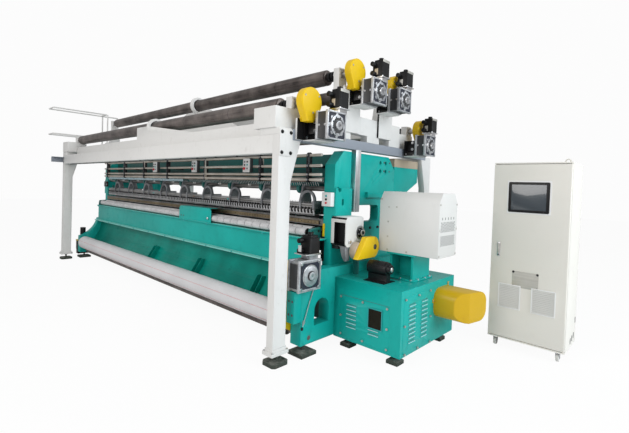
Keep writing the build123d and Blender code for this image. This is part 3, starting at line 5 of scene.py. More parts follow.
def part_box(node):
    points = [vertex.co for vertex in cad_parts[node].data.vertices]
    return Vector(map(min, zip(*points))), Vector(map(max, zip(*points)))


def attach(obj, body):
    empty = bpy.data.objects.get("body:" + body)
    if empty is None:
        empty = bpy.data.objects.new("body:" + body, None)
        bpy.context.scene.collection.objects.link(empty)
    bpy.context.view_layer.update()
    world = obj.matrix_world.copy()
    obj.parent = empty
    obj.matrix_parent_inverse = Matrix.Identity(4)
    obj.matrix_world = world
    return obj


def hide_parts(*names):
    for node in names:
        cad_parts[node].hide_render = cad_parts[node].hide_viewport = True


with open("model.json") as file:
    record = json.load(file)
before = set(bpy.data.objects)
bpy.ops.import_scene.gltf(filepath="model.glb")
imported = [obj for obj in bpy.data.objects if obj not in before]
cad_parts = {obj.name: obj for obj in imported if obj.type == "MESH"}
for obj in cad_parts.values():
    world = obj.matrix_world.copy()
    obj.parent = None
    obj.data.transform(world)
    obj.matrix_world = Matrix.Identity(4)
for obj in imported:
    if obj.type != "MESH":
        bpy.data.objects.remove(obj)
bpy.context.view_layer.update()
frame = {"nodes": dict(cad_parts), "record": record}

scene = bpy.context.scene
nodes = frame["nodes"]
homeOf = {name: body for body, names in frame["record"]["behaviour"]["bodies"].items() for name in names}

# The gantry's middle on the floor: every place below is in millimetres from it
gantryX = (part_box("gantry_posts")[0].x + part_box("gantry_posts")[1].x) / 2
gantryY = (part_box("front_beam")[0].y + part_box("rear_beam")[1].y) / 2
mm = 0.001


def spot(x, y, z):
    return Vector((gantryX + x * mm, gantryY + y * mm, z * mm))


def edges(node):  # a node's lowest and highest corner, in millimetres from the gantry's middle
    low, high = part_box(node)
    return [Vector(((v.x - gantryX) / mm, (v.y - gantryY) / mm, v.z / mm)) for v in (low, high)]


def middleOf(node):  # where the axis of a node that lies along the machine is
    low, high = edges(node)
    return (low.y + high.y) / 2, (low.z + high.z) / 2


# Camera at the photograph's standpoint
cameraSetup = {"place": (5750, -3675, 1600), "yaw": 43.0, "pitch": 1.2, "roll": 2.0, "focal": 392.0,
               "frameWidth": 629, "frameHeight": 433, "horizonRow": 195.0, "farEnd": 200}


def makeCamera(c):
    yaw, pitch, roll = (math.radians(c[k]) for k in ("yaw", "pitch", "roll"))
    ahead = Vector((-math.sin(yaw) * math.cos(pitch), math.cos(yaw) * math.cos(pitch), -math.sin(pitch)))
    side = Vector((math.cos(yaw), math.sin(yaw), 0))
    over = side.cross(ahead)
    right = side * math.cos(roll) + over * math.sin(roll)
    up = over * math.cos(roll) - side * math.sin(roll)
    data = bpy.data.cameras.new("photoCamera")
    data.sensor_width = 36
    data.lens = c["focal"] / c["frameWidth"] * data.sensor_width
    data.shift_y = (c["horizonRow"] - c["frameHeight"] / 2) / c["frameWidth"]
    data.clip_end = c["farEnd"]
    camera = bpy.data.objects.new("photoCamera", data)
    scene.collection.objects.link(camera)
    turn = Matrix((right, up, -ahead)).transposed()
    camera.matrix_world = Matrix.Translation(spot(*c["place"])) @ turn.to_4x4()
    scene.camera = camera


makeCamera(cameraSetup)
scene.view_settings.view_transform = "Standard"
print("camera ready")


# Node groups shared by the finishes
def startGroup(name, inputs, outputs):
    tree = bpy.data.node_groups.new(name, "ShaderNodeTree")
    for label, kind, value in inputs:
        socket = tree.interface.new_socket(label, in_out="INPUT", socket_type=kind)
        socket.default_value = value
    for label, kind in outputs:
        tree.interface.new_socket(label, in_out="OUTPUT", socket_type=kind)
    return tree, tree.nodes.new("NodeGroupInput"), tree.nodes.new("NodeGroupOutput")


def link(tree, source, target):
    if isinstance(source, (int, float, tuple)):
        target.default_value = source
    else:
        tree.links.new(source, target)


def noiseNode(tree, vector, scale, detail=4.0, roughness=0.55):
    n = tree.nodes.new("ShaderNodeTexNoise")
    for label, value in (("Vector", vector), ("Scale", scale), ("Detail", detail), ("Roughness", roughness)):
        link(tree, value, n.inputs[label])
    return n.outputs["Fac"]


def mathNode(tree, operation, *values):
    n = tree.nodes.new("ShaderNodeMath")
    n.operation = operation
    for index, value in enumerate(values):
        link(tree, value, n.inputs[index])
    return n.outputs[0]


def rangeNode(tree, value, low, high, outLow=0.0, outHigh=1.0):
    n = tree.nodes.new("ShaderNodeMapRange")
    for label, number in (("Value", value), ("From Min", low), ("From Max", high), ("To Min", outLow),
                          ("To Max", outHigh)):
        link(tree, number, n.inputs[label])
    return n.outputs["Result"]


def mixColor(tree, factor, first, second):
    n = tree.nodes.new("ShaderNodeMix")
    n.data_type = "RGBA"
    for index, value in ((0, factor), (6, first), (7, second)):
        link(tree, (*value, 1.0) if isinstance(value, tuple) else value, n.inputs[index])
    return n.outputs[2]


def scaleVector(tree, vector, scale):
    n = tree.nodes.new("ShaderNodeVectorMath")
    n.operation = "MULTIPLY"
    link(tree, vector, n.inputs[0])
    link(tree, scale, n.inputs[1])
    return n.outputs[0]


paintLook = {"broad": (1.3, 3.0), "fine": (14.0, 6.0, 0.65), "smear": (3.0, 5.0, 0.6),
             "smearStretch": (5.0, 5.0, 0.9), "dustColor": (0.62, 0.60, 0.56), "peel": (260.0, 2.0),
             "peelHeight": 0.35, "wave": (9.0, 2.0), "waveHeight": 0.9, "shadeSpan": (0.3, 0.7),
             "fineSpan": (0.52, 0.75), "smearSpan": (0.45, 0.7), "dustFacing": (0.5, 1.0),
             "dustSpan": (0.35, 0.7), "roughFine": 0.14, "roughDirt": 0.4, "roughDust": 0.5}
metalLook = {"grain": (1.0, 5.0, 0.6), "cloud": (5.0, 4.0), "specks": (38.0, 5.0, 0.7),
             "blendSpan": (0.7, 1.3),
             "speckSpan": (0.55, 0.72), "roughGrain": 0.18, "roughSpots": 0.4, "speckHeight": 0.4}


def buildPaintGroup(p):  # paint with cloudy shade, streaks of grime, dust on what faces up, and orange peel
    tree, come, go = startGroup(
        "agedPaint",
        [("Vector", "NodeSocketVector", (0, 0, 0)), ("Paint", "NodeSocketColor", (0.5, 0.5, 0.5, 1)),
         ("Grime", "NodeSocketColor", (0.2, 0.18, 0.15, 1)), ("Grime Amount", "NodeSocketFloat", 0.25),
         ("Shade Amount", "NodeSocketFloat", 0.2), ("Gloss", "NodeSocketFloat", 0.35),
         ("Dust Amount", "NodeSocketFloat", 0.1), ("Facing", "NodeSocketVector", (0, 0, 1))],
        [("Color", "NodeSocketColor"), ("Roughness", "NodeSocketFloat"), ("Height", "NodeSocketFloat")])
    given, at = come.outputs, come.outputs["Vector"]

    def times(first, second):
        return mathNode(tree, "MULTIPLY", first, second)

    def plus(first, second):
        return mathNode(tree, "ADD", first, second)

    broad = noiseNode(tree, at, *p["broad"])
    fine = noiseNode(tree, at, *p["fine"])
    smear = noiseNode(tree, scaleVector(tree, at, p["smearStretch"]), *p["smear"])
    shade = times(rangeNode(tree, broad, *p["shadeSpan"]), given["Shade Amount"])
    dark = mixColor(tree, shade, given["Paint"], (0.0, 0.0, 0.0))
    dirt = times(rangeNode(tree, fine, *p["fineSpan"]), rangeNode(tree, smear, *p["smearSpan"]))
    dirt = times(dirt, given["Grime Amount"])
    color = mixColor(tree, dirt, dark, given["Grime"])
    split = tree.nodes.new("ShaderNodeSeparateXYZ")
    link(tree, given["Facing"], split.inputs[0])
    raised = rangeNode(tree, split.outputs["Z"], *p["dustFacing"])
    dust = times(times(raised, rangeNode(tree, fine, *p["dustSpan"])), given["Dust Amount"])
    link(tree, mixColor(tree, dust, color, p["dustColor"]), go.inputs["Color"])
    rough = plus(plus(given["Gloss"], times(fine, p["roughFine"])), times(dirt, p["roughDirt"]))
    link(tree, plus(rough, times(dust, p["roughDust"])), go.inputs["Roughness"])
    peel = times(noiseNode(tree, at, *p["peel"]), p["peelHeight"])
    wave = times(noiseNode(tree, at, *p["wave"]), p["waveHeight"])
    link(tree, plus(peel, wave), go.inputs["Height"])
    return tree


def buildMetalGroup(p):  # metal with a directed grain, cloudy dulling and darker spots
    tree, come, go = startGroup(
        "workedMetal",
        [("Vector", "NodeSocketVector", (0, 0, 0)), ("Bright", "NodeSocketColor", (0.6, 0.6, 0.6, 1)),
         ("Dull", "NodeSocketColor", (0.2, 0.2, 0.2, 1)), ("Spots", "NodeSocketColor", (0.15, 0.1, 0.07, 1)),
         ("Spot Amount", "NodeSocketFloat", 0.3), ("Gloss", "NodeSocketFloat", 0.35),
         ("Grain", "NodeSocketVector", (4.0, 60.0, 60.0))],
        [("Color", "NodeSocketColor"), ("Roughness", "NodeSocketFloat"), ("Height", "NodeSocketFloat")])
    given, at = come.outputs, come.outputs["Vector"]
    grain = noiseNode(tree, scaleVector(tree, at, given["Grain"]), *p["grain"])
    cloud = noiseNode(tree, at, *p["cloud"])
    specks = noiseNode(tree, at, *p["specks"])
    blend = rangeNode(tree, mathNode(tree, "ADD", grain, cloud), *p["blendSpan"])
    color = mixColor(tree, blend, given["Dull"], given["Bright"])
    spots = mathNode(tree, "MULTIPLY", rangeNode(tree, specks, *p["speckSpan"]), given["Spot Amount"])
    link(tree, mixColor(tree, spots, color, given["Spots"]), go.inputs["Color"])
    rough = mathNode(tree, "ADD", given["Gloss"], mathNode(tree, "MULTIPLY", grain, p["roughGrain"]))
    rough = mathNode(tree, "ADD", rough, mathNode(tree, "MULTIPLY", spots, p["roughSpots"]))
    link(tree, rough, go.inputs["Roughness"])
    height = mathNode(tree, "ADD", grain, mathNode(tree, "MULTIPLY", specks, p["speckHeight"]))
    link(tree, height, go.inputs["Height"])
    return tree


paintTree = buildPaintGroup(paintLook)
metalTree = buildMetalGroup(metalLook)
colorSockets = ("Paint", "Grime", "Bright", "Dull", "Spots")
bumpDepth = {"paint": 0.0015, "metal": 0.001}


def startMaterial(name, groupTree, values, bump, distance):
    m = bpy.data.materials.new(name)
    m.use_nodes = True
    tree = m.node_tree
    shader = tree.nodes["Principled BSDF"]
    place = tree.nodes.new("ShaderNodeTexCoord")
    group = tree.nodes.new("ShaderNodeGroup")
    group.node_tree = groupTree
    link(tree, place.outputs["Object"], group.inputs["Vector"])
    if "Facing" in group.inputs:
        link(tree, place.outputs["Normal"], group.inputs["Facing"])
    for label, value in values.items():
        group.inputs[label].default_value = (*value, 1) if label in colorSockets else value
    link(tree, group.outputs["Color"], shader.inputs["Base Color"])
    link(tree, group.outputs["Roughness"], shader.inputs["Roughness"])
    relief = tree.nodes.new("ShaderNodeBump")
    relief.inputs["Strength"].default_value = bump
    relief.inputs["Distance"].default_value = distance
    link(tree, group.outputs["Height"], relief.inputs["Height"])
    link(tree, relief.outputs["Normal"], shader.inputs["Normal"])
    return m, shader


def makePaint(name, paint, grime=(0.25, 0.22, 0.18), grimeAmount=0.25, shadeAmount=0.12, gloss=0.32,
              dust=0.1, coat=0.0, bump=0.25, specular=0.5):
    values = {"Paint": paint, "Grime": grime, "Grime Amount": grimeAmount, "Shade Amount": shadeAmount,
              "Gloss": gloss, "Dust Amount": dust}
    m, shader = startMaterial(name, paintTree, values, bump, bumpDepth["paint"])
    shader.inputs["Coat Weight"].default_value = coat
    shader.inputs["Coat Roughness"].default_value = 0.15
    shader.inputs["Specular IOR Level"].default_value = specular
    return m


def makeMetal(name, bright, dull, spots=(0.12, 0.08, 0.05), spotAmount=0.2, gloss=0.3,
              grain=(3.0, 60.0, 60.0), metallic=1.0, bump=0.3):
    values = {"Bright": bright, "Dull": dull, "Spots": spots, "Spot Amount": spotAmount, "Gloss": gloss,
              "Grain": grain}
    m, shader = startMaterial(name, metalTree, values, bump, bumpDepth["metal"])
    shader.inputs["Metallic"].default_value = metallic
    return m


def makeGlass(name, color, gloss):
    values = {"Paint": color, "Grime Amount": 0.0, "Shade Amount": 0.4, "Gloss": gloss, "Dust Amount": 0.0}
    m, shader = startMaterial(name, paintTree, values, 0.02, bumpDepth["metal"])
    shader.inputs["Coat Weight"].default_value = 1.0
    shader.inputs["Coat Roughness"].default_value = 0.04
    return m


finishes = {
    "white": makePaint("whitePowderCoat", (0.72, 0.72, 0.71), grimeAmount=0.3, shadeAmount=0.06, gloss=0.38),
    "cabinetWhite": makePaint("cabinetPowderCoat", (0.76, 0.74, 0.69), grimeAmount=0.08, shadeAmount=0.06,
                              gloss=0.4),
    "frameWhite": makePaint("frameWhite", (0.78, 0.78, 0.78), grimeAmount=0.05, shadeAmount=0.03, gloss=0.4),
    "grey": makeMetal("greyArches", (0.34, 0.35, 0.37), (0.11, 0.115, 0.125), gloss=0.36, spotAmount=0.4,
                      grain=(14.0, 14.0, 14.0), metallic=0.45),
    # tealTrayPaintedShade: a darker copy of the teal enamel, painted shade for the tray under the channel;
    # its heavy cloudy darkening paints patchy light and shade
    "tealTrayPaintedShade": makePaint("tealTrayPaintedShade", (0.002, 0.34, 0.275), grime=(0.002, 0.06, 0.055), grimeAmount=0.6,
                          shadeAmount=0.5, gloss=0.32, coat=0.02, dust=0.0, specular=0.12),
    # tealPaintedShade: a dark copy of the teal enamel, painted shadow for teal parts that lie in shade
    "tealPaintedShade": makePaint("tealShadow", (0.008, 0.13, 0.12), grime=(0.01, 0.03, 0.03), grimeAmount=0.5,
                          gloss=0.3),
    "teal": makePaint("tealEnamel", (0.006, 0.43, 0.385), grime=(0.004, 0.13, 0.12), grimeAmount=0.5,
                      shadeAmount=0.25, gloss=0.30, coat=0.04, dust=0.02, specular=0.22),
    "tealSide": makePaint("tealLight", (0.03, 0.40, 0.40), grime=(0.01, 0.07, 0.06), grimeAmount=0.4,
                          shadeAmount=0.15, gloss=0.28, dust=0.05),
    # iceHighlight: pale blue painted as highlight on the dark yarn plates and on the louvre lips
    "iceHighlight": makePaint("paleBlueHighlight", (0.55, 0.72, 0.80), grimeAmount=0.2, gloss=0.35, dust=0.0),
    "channel": makePaint("channelGrey", (0.27, 0.30, 0.35), grimeAmount=0.3, gloss=0.4, dust=0.2),
    "yellow": makePaint("guardYellow", (0.80, 0.53, 0.006), grime=(0.4, 0.2, 0.02), grimeAmount=0.25,
                        gloss=0.3, shadeAmount=0.08, coat=0.1, dust=0.0, specular=0.3),
    "coverYellow": makePaint("coverYellow", (0.60, 0.37, 0.005), grime=(0.35, 0.17, 0.02), grimeAmount=0.25,
                             gloss=0.3, shadeAmount=0.08, coat=0.1, dust=0.0, specular=0.3),
    # lipHighlight: a lighter teal painted as highlight on the channel's upper faces and lower lip edge
    "lipHighlight": makePaint("tealLipHighlight", (0.20, 0.62, 0.56), grime=(0.03, 0.25, 0.22), grimeAmount=0.4, gloss=0.3),
    "black": makePaint("blackEnamel", (0.008, 0.008, 0.009), grime=(0.03, 0.028, 0.026), grimeAmount=0.5,
                       gloss=0.3, dust=0.0, specular=0.22),
    "darkGrey": makePaint("darkGreyCasting", (0.032, 0.033, 0.036), grime=(0.09, 0.085, 0.08),
                          grimeAmount=0.5, gloss=0.42, bump=0.5),
    "navy": makePaint("recessNavy", (0.014, 0.018, 0.034), grimeAmount=0.3, gloss=0.45),
    "red": makePaint("buttonRed", (0.65, 0.015, 0.03), grimeAmount=0.1, gloss=0.25, coat=0.4, dust=0.0),
    "beige": makePaint("deckBeige", (0.46, 0.38, 0.28), grimeAmount=0.4, gloss=0.45),
    # creamReflection: steel tinted cream and brown, painted reflection on the chrome stop rails
    "creamReflection": makeMetal("railPaintedReflection", (0.76, 0.72, 0.66), (0.44, 0.38, 0.32), gloss=0.3, spotAmount=0.25,
                       metallic=0.35),
    "paleGrey": makePaint("housingGrey", (0.68, 0.68, 0.665), grimeAmount=0.12, shadeAmount=0.05,
                          gloss=0.42),
    # slot: dark colour painted as shade in holes, slots, vents, the motor foot slot and under the louvres; it
    # also colours the panel seams and the door gap
    "slot": makePaint("darkSlot", (0.07, 0.075, 0.08), grimeAmount=0.2, gloss=0.6, dust=0.0),
    "tube": makeMetal("barkedSteelTube", (0.25, 0.215, 0.20), (0.05, 0.042, 0.04), spots=(0.10, 0.045, 0.03),
                      spotAmount=0.45, gloss=0.30, grain=(1.2, 26.0, 26.0), metallic=0.75),
    "steel": makeMetal("oiledSteel", (0.40, 0.39, 0.38), (0.10, 0.097, 0.094), gloss=0.28, spotAmount=0.4),
    "dark": makeMetal("blackenedSteel", (0.10, 0.10, 0.105), (0.02, 0.02, 0.022), gloss=0.3, spotAmount=0.3),
    "bright": makeMetal("brightSteel", (0.74, 0.74, 0.75), (0.46, 0.46, 0.47), gloss=0.22, spotAmount=0.1),
    "satin": makeMetal("satinSleeve", (0.72, 0.72, 0.73), (0.40, 0.40, 0.42), gloss=0.35, spotAmount=0.3,
                       grain=(24.0, 24.0, 24.0), metallic=0.5),
    "brass": makeMetal("needleBrass", (0.36, 0.29, 0.18), (0.16, 0.12, 0.075), gloss=0.32, spotAmount=0.3),
    "bronze": makeMetal("boltBronze", (0.42, 0.25, 0.13), (0.2, 0.11, 0.06), gloss=0.35, spotAmount=0.2),
    "casting": makeMetal("castAluminium", (0.62, 0.63, 0.65), (0.30, 0.31, 0.33), spots=(0.07, 0.07, 0.08),
                         spotAmount=0.4, gloss=0.36, grain=(18.0, 18.0, 18.0), metallic=0.7),
    "profile": makeMetal("brushedProfile", (0.78, 0.78, 0.79), (0.5, 0.5, 0.52), gloss=0.3,
                         grain=(60.0, 60.0, 2.0)),
    "cloth": makePaint("clothWhite", (0.70, 0.70, 0.72), grime=(0.45, 0.45, 0.5), grimeAmount=0.5, gloss=0.8,
                       dust=0.0),
    "rubber": makePaint("padRubber", (0.035, 0.045, 0.035), grime=(0.15, 0.14, 0.11), grimeAmount=0.7,
                        gloss=0.6, dust=0.3),
    "plastic": makePaint("greyPlastic", (0.66, 0.66, 0.64), grimeAmount=0.1, gloss=0.4, dust=0.02),
    "label": makePaint("bareLabel", (0.62, 0.52, 0.38), grimeAmount=0.2, gloss=0.5, dust=0.0),
    "plate": makeMetal("barePlate", (0.55, 0.54, 0.50), (0.40, 0.39, 0.36), gloss=0.35, spotAmount=0.05,
                       grain=(2.0, 2.0, 80.0), metallic=0.6),
    "screenGlass": makeGlass("screenGlass", (0.035, 0.05, 0.065), 0.12),
    "windowGlass": makePaint("windowDark", (0.010, 0.008, 0.003), grimeAmount=0.1, gloss=0.6, dust=0.0,
                             specular=0.2),
    "sleeve": makeMetal("sleeveWhite", (0.74, 0.74, 0.75), (0.50, 0.50, 0.52), spots=(0.25, 0.25, 0.27),
                        spotAmount=0.35, gloss=0.4, grain=(8.0, 40.0, 40.0), metallic=0.2),
}
print("finishes ready:", len(finishes))


# Mesh tools: a Piece gathers parts in millimetres and becomes one object
sharpTurn = math.radians(32)
axes = {"x": (1, 0, 0), "y": (0, 1, 0), "z": (0, 0, 1)}
toRight, toLeft, toFront, upward = (1, 0, 0), (-1, 0, 0), (0, -1, 0), (0, 0, 1)


class Piece:
    def __init__(self, name, body="root"):
        self.name, self.body = name, body
        self.mesh = bmesh.new()
        self.used = []

    def add(self, part, finish, outward=True):
        if finish not in self.used:
            self.used.append(finish)
        if outward:
            bmesh.ops.recalc_face_normals(part, faces=part.faces)
        for face in part.faces:
            face.material_index = self.used.index(finish)
        data = bpy.data.meshes.new("part")
        part.to_mesh(data)
        part.free()
        self.mesh.from_mesh(data)
        bpy.data.meshes.remove(data)

    def block(self, low, high, finish, edge=0.0):
        part = bmesh.new()
        bmesh.ops.create_cube(part, size=1)
        for v in part.verts:
            v.co = Vector(low[i] + (v.co[i] + 0.5) * (high[i] - low[i]) for i in range(3))
        if edge:
            bmesh.ops.bevel(part, geom=part.edges[:], offset=edge, segments=2, profile=0.6, affect="EDGES")
        self.add(part, finish)

    def lathe(self, start, axis, profile, finish, sides=32, loop=False):
        part = bmesh.new()
        along = Vector(axes[axis] if isinstance(axis, str) else axis).normalized()
        first = along.orthogonal().normalized()
        second = along.cross(first)
        rings = []
        for radius, reach in profile:
            centre = Vector(start) + along * reach
            if radius < 1e-6:
                rings.append([part.verts.new(centre)] * sides)
                continue
            rings.append(ringAround(part, centre, first, second, radius, sides))
        pairs = list(zip(rings, rings[1:])) + ([(rings[-1], rings[0])] if loop else [])
        for low, high in pairs:
            for k in range(sides):
                corners = [low[k], low[(k + 1) % sides], high[(k + 1) % sides], high[k]]
                corners = list(dict.fromkeys(corners))
                if len(corners) > 2:
                    part.faces.new(corners)
        if not loop:
            for ring in (rings[0], rings[-1]):
                if ring[0] is not ring[1]:
                    part.faces.new(ring)
        self.add(part, finish)

    def rod(self, start, end, radius, finish, sides=16, edge=0.0):
        reach = Vector(end) - Vector(start)
        length = reach.length
        shape = [(radius, 0), (radius, length)]
        if edge:
            shape = [(radius - edge, 0), (radius, edge), (radius, length - edge), (radius - edge, length)]
        self.lathe(start, reach, shape, finish, sides)

    def slab(self, outline, axis, base, depth, finish, edge=0.0):  # an outline pushed along an axis
        part = bmesh.new()
        at = "xyz".index(axis)
        corners = [(*pair[:at], base, *pair[at:]) for pair in outline]
        face = part.faces.new([part.verts.new(corner) for corner in corners])
        grown = bmesh.ops.extrude_face_region(part, geom=[face])["geom"]
        pushed = [v for v in grown if isinstance(v, bmesh.types.BMVert)]
        bmesh.ops.translate(part, vec=Vector(axes[axis]) * depth, verts=pushed)
        if edge:
            sharp = [e for e in part.edges if e.calc_face_angle(0) > 0.6]
            bmesh.ops.bevel(part, geom=sharp, offset=edge, segments=2, profile=0.6, affect="EDGES")
        self.add(part, finish)

    def pipe(self, points, radius, finish, sides=10):  # a round bar bent along a path
        part = bmesh.new()
        path = [Vector(p) for p in points]
        rings, side = [], None
        for k, point in enumerate(path):
            ahead = (path[min(k + 1, len(path) - 1)] - path[max(k - 1, 0)]).normalized()
            side = ahead.orthogonal() if side is None else side - ahead * side.dot(ahead)
            side.normalize()
            rings.append(ringAround(part, point, side, ahead.cross(side), radius, sides))
        for low, high in zip(rings, rings[1:]):
            for n in range(sides):
                part.faces.new([low[n], low[(n + 1) % sides], high[(n + 1) % sides], high[n]])
        part.faces.new(rings[0])
        part.faces.new(rings[-1])
        self.add(part, finish)

    def done(self, slotName, *hides):
        for v in self.mesh.verts:
            v.co = spot(*v.co)
        for face in self.mesh.faces:
            face.smooth = True
        for edge in self.mesh.edges:
            if len(edge.link_faces) == 2 and edge.calc_face_angle(0) > sharpTurn:
                edge.smooth = False
        data = bpy.data.meshes.new(self.name)
        self.mesh.to_mesh(data)
        self.mesh.free()
        return settle(self.name, data, self.used, self.body, hides)


def ringAround(part, centre, first, second, radius, sides):  # a ring of corners for a lathe or a pipe
    turns = [2 * math.pi * k / sides for k in range(sides)]
    return [part.verts.new(centre + (first * math.cos(t) + second * math.sin(t)) * radius) for t in turns]


def settle(name, data, used, body, hides=()):
    obj = bpy.data.objects.new(name, data)
    scene.collection.objects.link(obj)
    if not data.materials:
        for finish in used:
            data.materials.append(finishes[finish])
    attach(obj, body)
    if hides:
        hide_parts(*hides)
    return obj


def ringOf(radius, count, turn=0.0):  # places round a circle
    turns = [turn + 2 * math.pi * k / count for k in range(count)]
    return [(radius * math.cos(t), radius * math.sin(t)) for t in turns]


def cornersOf(halfA, halfB):
    return [(a * halfA, b * halfB) for a in (-1, 1) for b in (-1, 1)]


def flatRing(inner, outer, width):  # the section of a ring with broken outer edges
    return [(inner, 0), (outer - 1, 0), (outer, 1), (outer, width - 1), (outer - 1, width), (inner, width)]


def facing(places, aim):  # places for fasteners that all point one way
    return [(place, aim) for place in places]


def roundedOutline(halfA, halfB, radius, steps=5):
    corners = ((halfA - radius, halfB - radius, 0), (radius - halfA, halfB - radius, 90),
               (radius - halfA, radius - halfB, 180), (halfA - radius, radius - halfB, 270))
    outline = []
    for a, b, start in corners:
        for k in range(steps + 1):
            t = math.radians(start + 90 * k / steps)
            outline.append((a + radius * math.cos(t), b + radius * math.sin(t)))
    return outline


def moved(outline, a, b):
    return [(x + a, y + b) for x, y in outline]


# Geometry Nodes: rows of blocks, rods or rings, and fasteners set on places with an aim
def startTree(name, inputs):
    tree = bpy.data.node_groups.new(name, "GeometryNodeTree")
    for label, kind in inputs:
        tree.interface.new_socket(label, in_out="INPUT", socket_type=kind)
    tree.interface.new_socket("Shape", in_out="OUTPUT", socket_type="NodeSocketGeometry")
    return tree, tree.nodes.new("NodeGroupInput"), tree.nodes.new("NodeGroupOutput")


def geoNode(tree, kind, **inputs):
    n = tree.nodes.new(kind)
    for label, value in inputs.items():
        link(tree, value, n.inputs[label.replace("_", " ")])
    return n


def closeTree(tree, come, go, shape):  # realized, with its finish, so that the result is a plain mesh
    real = geoNode(tree, "GeometryNodeRealizeInstances", Geometry=shape)
    coat = geoNode(tree, "GeometryNodeSetMaterial", Geometry=real.outputs[0],
                   Material=come.outputs["Finish"])
    link(tree, coat.outputs[0], go.inputs["Shape"])


def buildRowTree(name, kind):
    sizes = [("Radius", "NodeSocketFloat"), ("Length", "NodeSocketFloat")]
    if kind == "block":
        sizes = [("Size", "NodeSocketVector")]
    tree, come, go = startTree(name, [("Start", "NodeSocketVector"), ("Step", "NodeSocketVector"),
                                      ("Count", "NodeSocketInt"), ("Row Step", "NodeSocketVector"),
                                      ("Rows", "NodeSocketInt"), ("Turn", "NodeSocketVector"),
                                      ("Jitter", "NodeSocketFloat"), ("Seed", "NodeSocketInt"),
                                      ("Sides", "NodeSocketInt"), ("Finish", "NodeSocketMaterial")] + sizes)
    out = come.outputs
    line = geoNode(tree, "GeometryNodeMeshLine", Count=out["Count"], Start_Location=out["Start"],
                   Offset=out["Step"])
    rows = geoNode(tree, "GeometryNodeMeshLine", Count=out["Rows"], Offset=out["Row Step"])
    if kind == "block":
        unit = geoNode(tree, "GeometryNodeMeshCube", Size=out["Size"]).outputs[0]
    else:
        unit = geoNode(tree, "GeometryNodeMeshCylinder", Vertices=out["Sides"], Radius=out["Radius"],
                       Depth=out["Length"]).outputs[0]
    grid = geoNode(tree, "GeometryNodeInstanceOnPoints", Points=rows.outputs[0], Instance=line.outputs[0])
    grid = geoNode(tree, "GeometryNodeRealizeInstances", Geometry=grid.outputs[0])
    vary = tree.nodes.new("FunctionNodeRandomValue")
    vary.data_type = "FLOAT"
    low = mathNode(tree, "SUBTRACT", 1.0, out["Jitter"])
    for index, value in ((2, low), (3, 1.0)):
        link(tree, value, vary.inputs[index])
    link(tree, out["Seed"], vary.inputs["Seed"])
    turn = tree.nodes.new("FunctionNodeEulerToRotation")
    link(tree, out["Turn"], turn.inputs[0])
    placed = geoNode(tree, "GeometryNodeInstanceOnPoints", Points=grid.outputs[0], Instance=unit,
                     Rotation=turn.outputs[0], Scale=vary.outputs[1])
    closeTree(tree, come, go, placed.outputs[0])
    return tree


def buildFastenerTree():
    tree, come, go = startTree("fasteners", [
        ("Places", "NodeSocketGeometry"), ("Head Radius", "NodeSocketFloat"),
        ("Head Height", "NodeSocketFloat"),
        ("Head Sides", "NodeSocketInt"), ("Washer Radius", "NodeSocketFloat"),
        ("Washer Height", "NodeSocketFloat"), ("Finish", "NodeSocketMaterial")])
    out = come.outputs
    washer = geoNode(tree, "GeometryNodeMeshCylinder", Vertices=16, Radius=out["Washer Radius"],
                     Depth=mathNode(tree, "MULTIPLY", out["Washer Height"], 2.0))
    head = geoNode(tree, "GeometryNodeMeshCylinder", Vertices=out["Head Sides"], Radius=out["Head Radius"],
                   Depth=mathNode(tree, "MULTIPLY", out["Head Height"], 2.0))
    both = tree.nodes.new("GeometryNodeJoinGeometry")
    for part in (washer, head):
        tree.links.new(part.outputs[0], both.inputs[0])
    aim = tree.nodes.new("GeometryNodeInputNamedAttribute")
    aim.data_type = "FLOAT_VECTOR"
    aim.inputs["Name"].default_value = "aim"
    turn = tree.nodes.new("FunctionNodeAlignRotationToVector")
    turn.axis = "Z"
    link(tree, aim.outputs[0], turn.inputs["Vector"])
    placed = geoNode(tree, "GeometryNodeInstanceOnPoints", Points=out["Places"], Instance=both.outputs[0],
                     Rotation=turn.outputs[0])
    closeTree(tree, come, go, placed.outputs[0])
    return tree


trees = {"block": buildRowTree("blockRows", "block"), "rod": buildRowTree("rodRows", "rod"),
         "fastener": buildFastenerTree()}


def plainMesh(holder, name):  # what the modifiers make of an object, which then goes
    graph = bpy.context.evaluated_depsgraph_get()
    data = bpy.data.meshes.new_from_object(holder.evaluated_get(graph), preserve_all_data_layers=True,
                                           depsgraph=graph)
    bpy.data.objects.remove(holder)
    data.name = name
    return data


def grow(name, tree, values, finish, body, source=None):  # runs a tree on a piece's settings
    holder = bpy.data.objects.new(name + "Pattern", source or bpy.data.meshes.new(name + "Pattern"))
    scene.collection.objects.link(holder)
    pattern = holder.modifiers.new("pattern", "NODES")
    pattern.node_group = tree
    values = dict(values, Finish=finishes[finish])
    for item in tree.interface.items_tree:
        if item.in_out == "INPUT" and item.name in values:
            pattern[item.identifier] = values[item.name]
    return settle(name, plainMesh(holder, name), [finish], body)


rodSides = {"fine": 8, "fineBelow": 20, "round": 24}


def row(name, start, step, count, size, finish, body="root", slotName="bright_steel", rowStep=(0, 0, 0),
        rows=1, turn=(0, 0, 0), jitter=0.0, seed=3):
    values = {"Start": spot(*start), "Step": Vector(step) * mm, "Count": count,
              "Row Step": Vector(rowStep) * mm, "Rows": rows, "Turn": Vector(math.radians(a) for a in turn),
              "Jitter": jitter, "Seed": seed}
    if len(size) == 3:
        values["Size"] = Vector(size) * mm
        return grow(name, trees["block"], values, finish, body)
    sides = rodSides["fine" if size[0] < rodSides["fineBelow"] else "round"]
    values.update({"Radius": size[0] * mm, "Length": size[1] * mm, "Sides": sides})
    return grow(name, trees["rod"], values, finish, body)


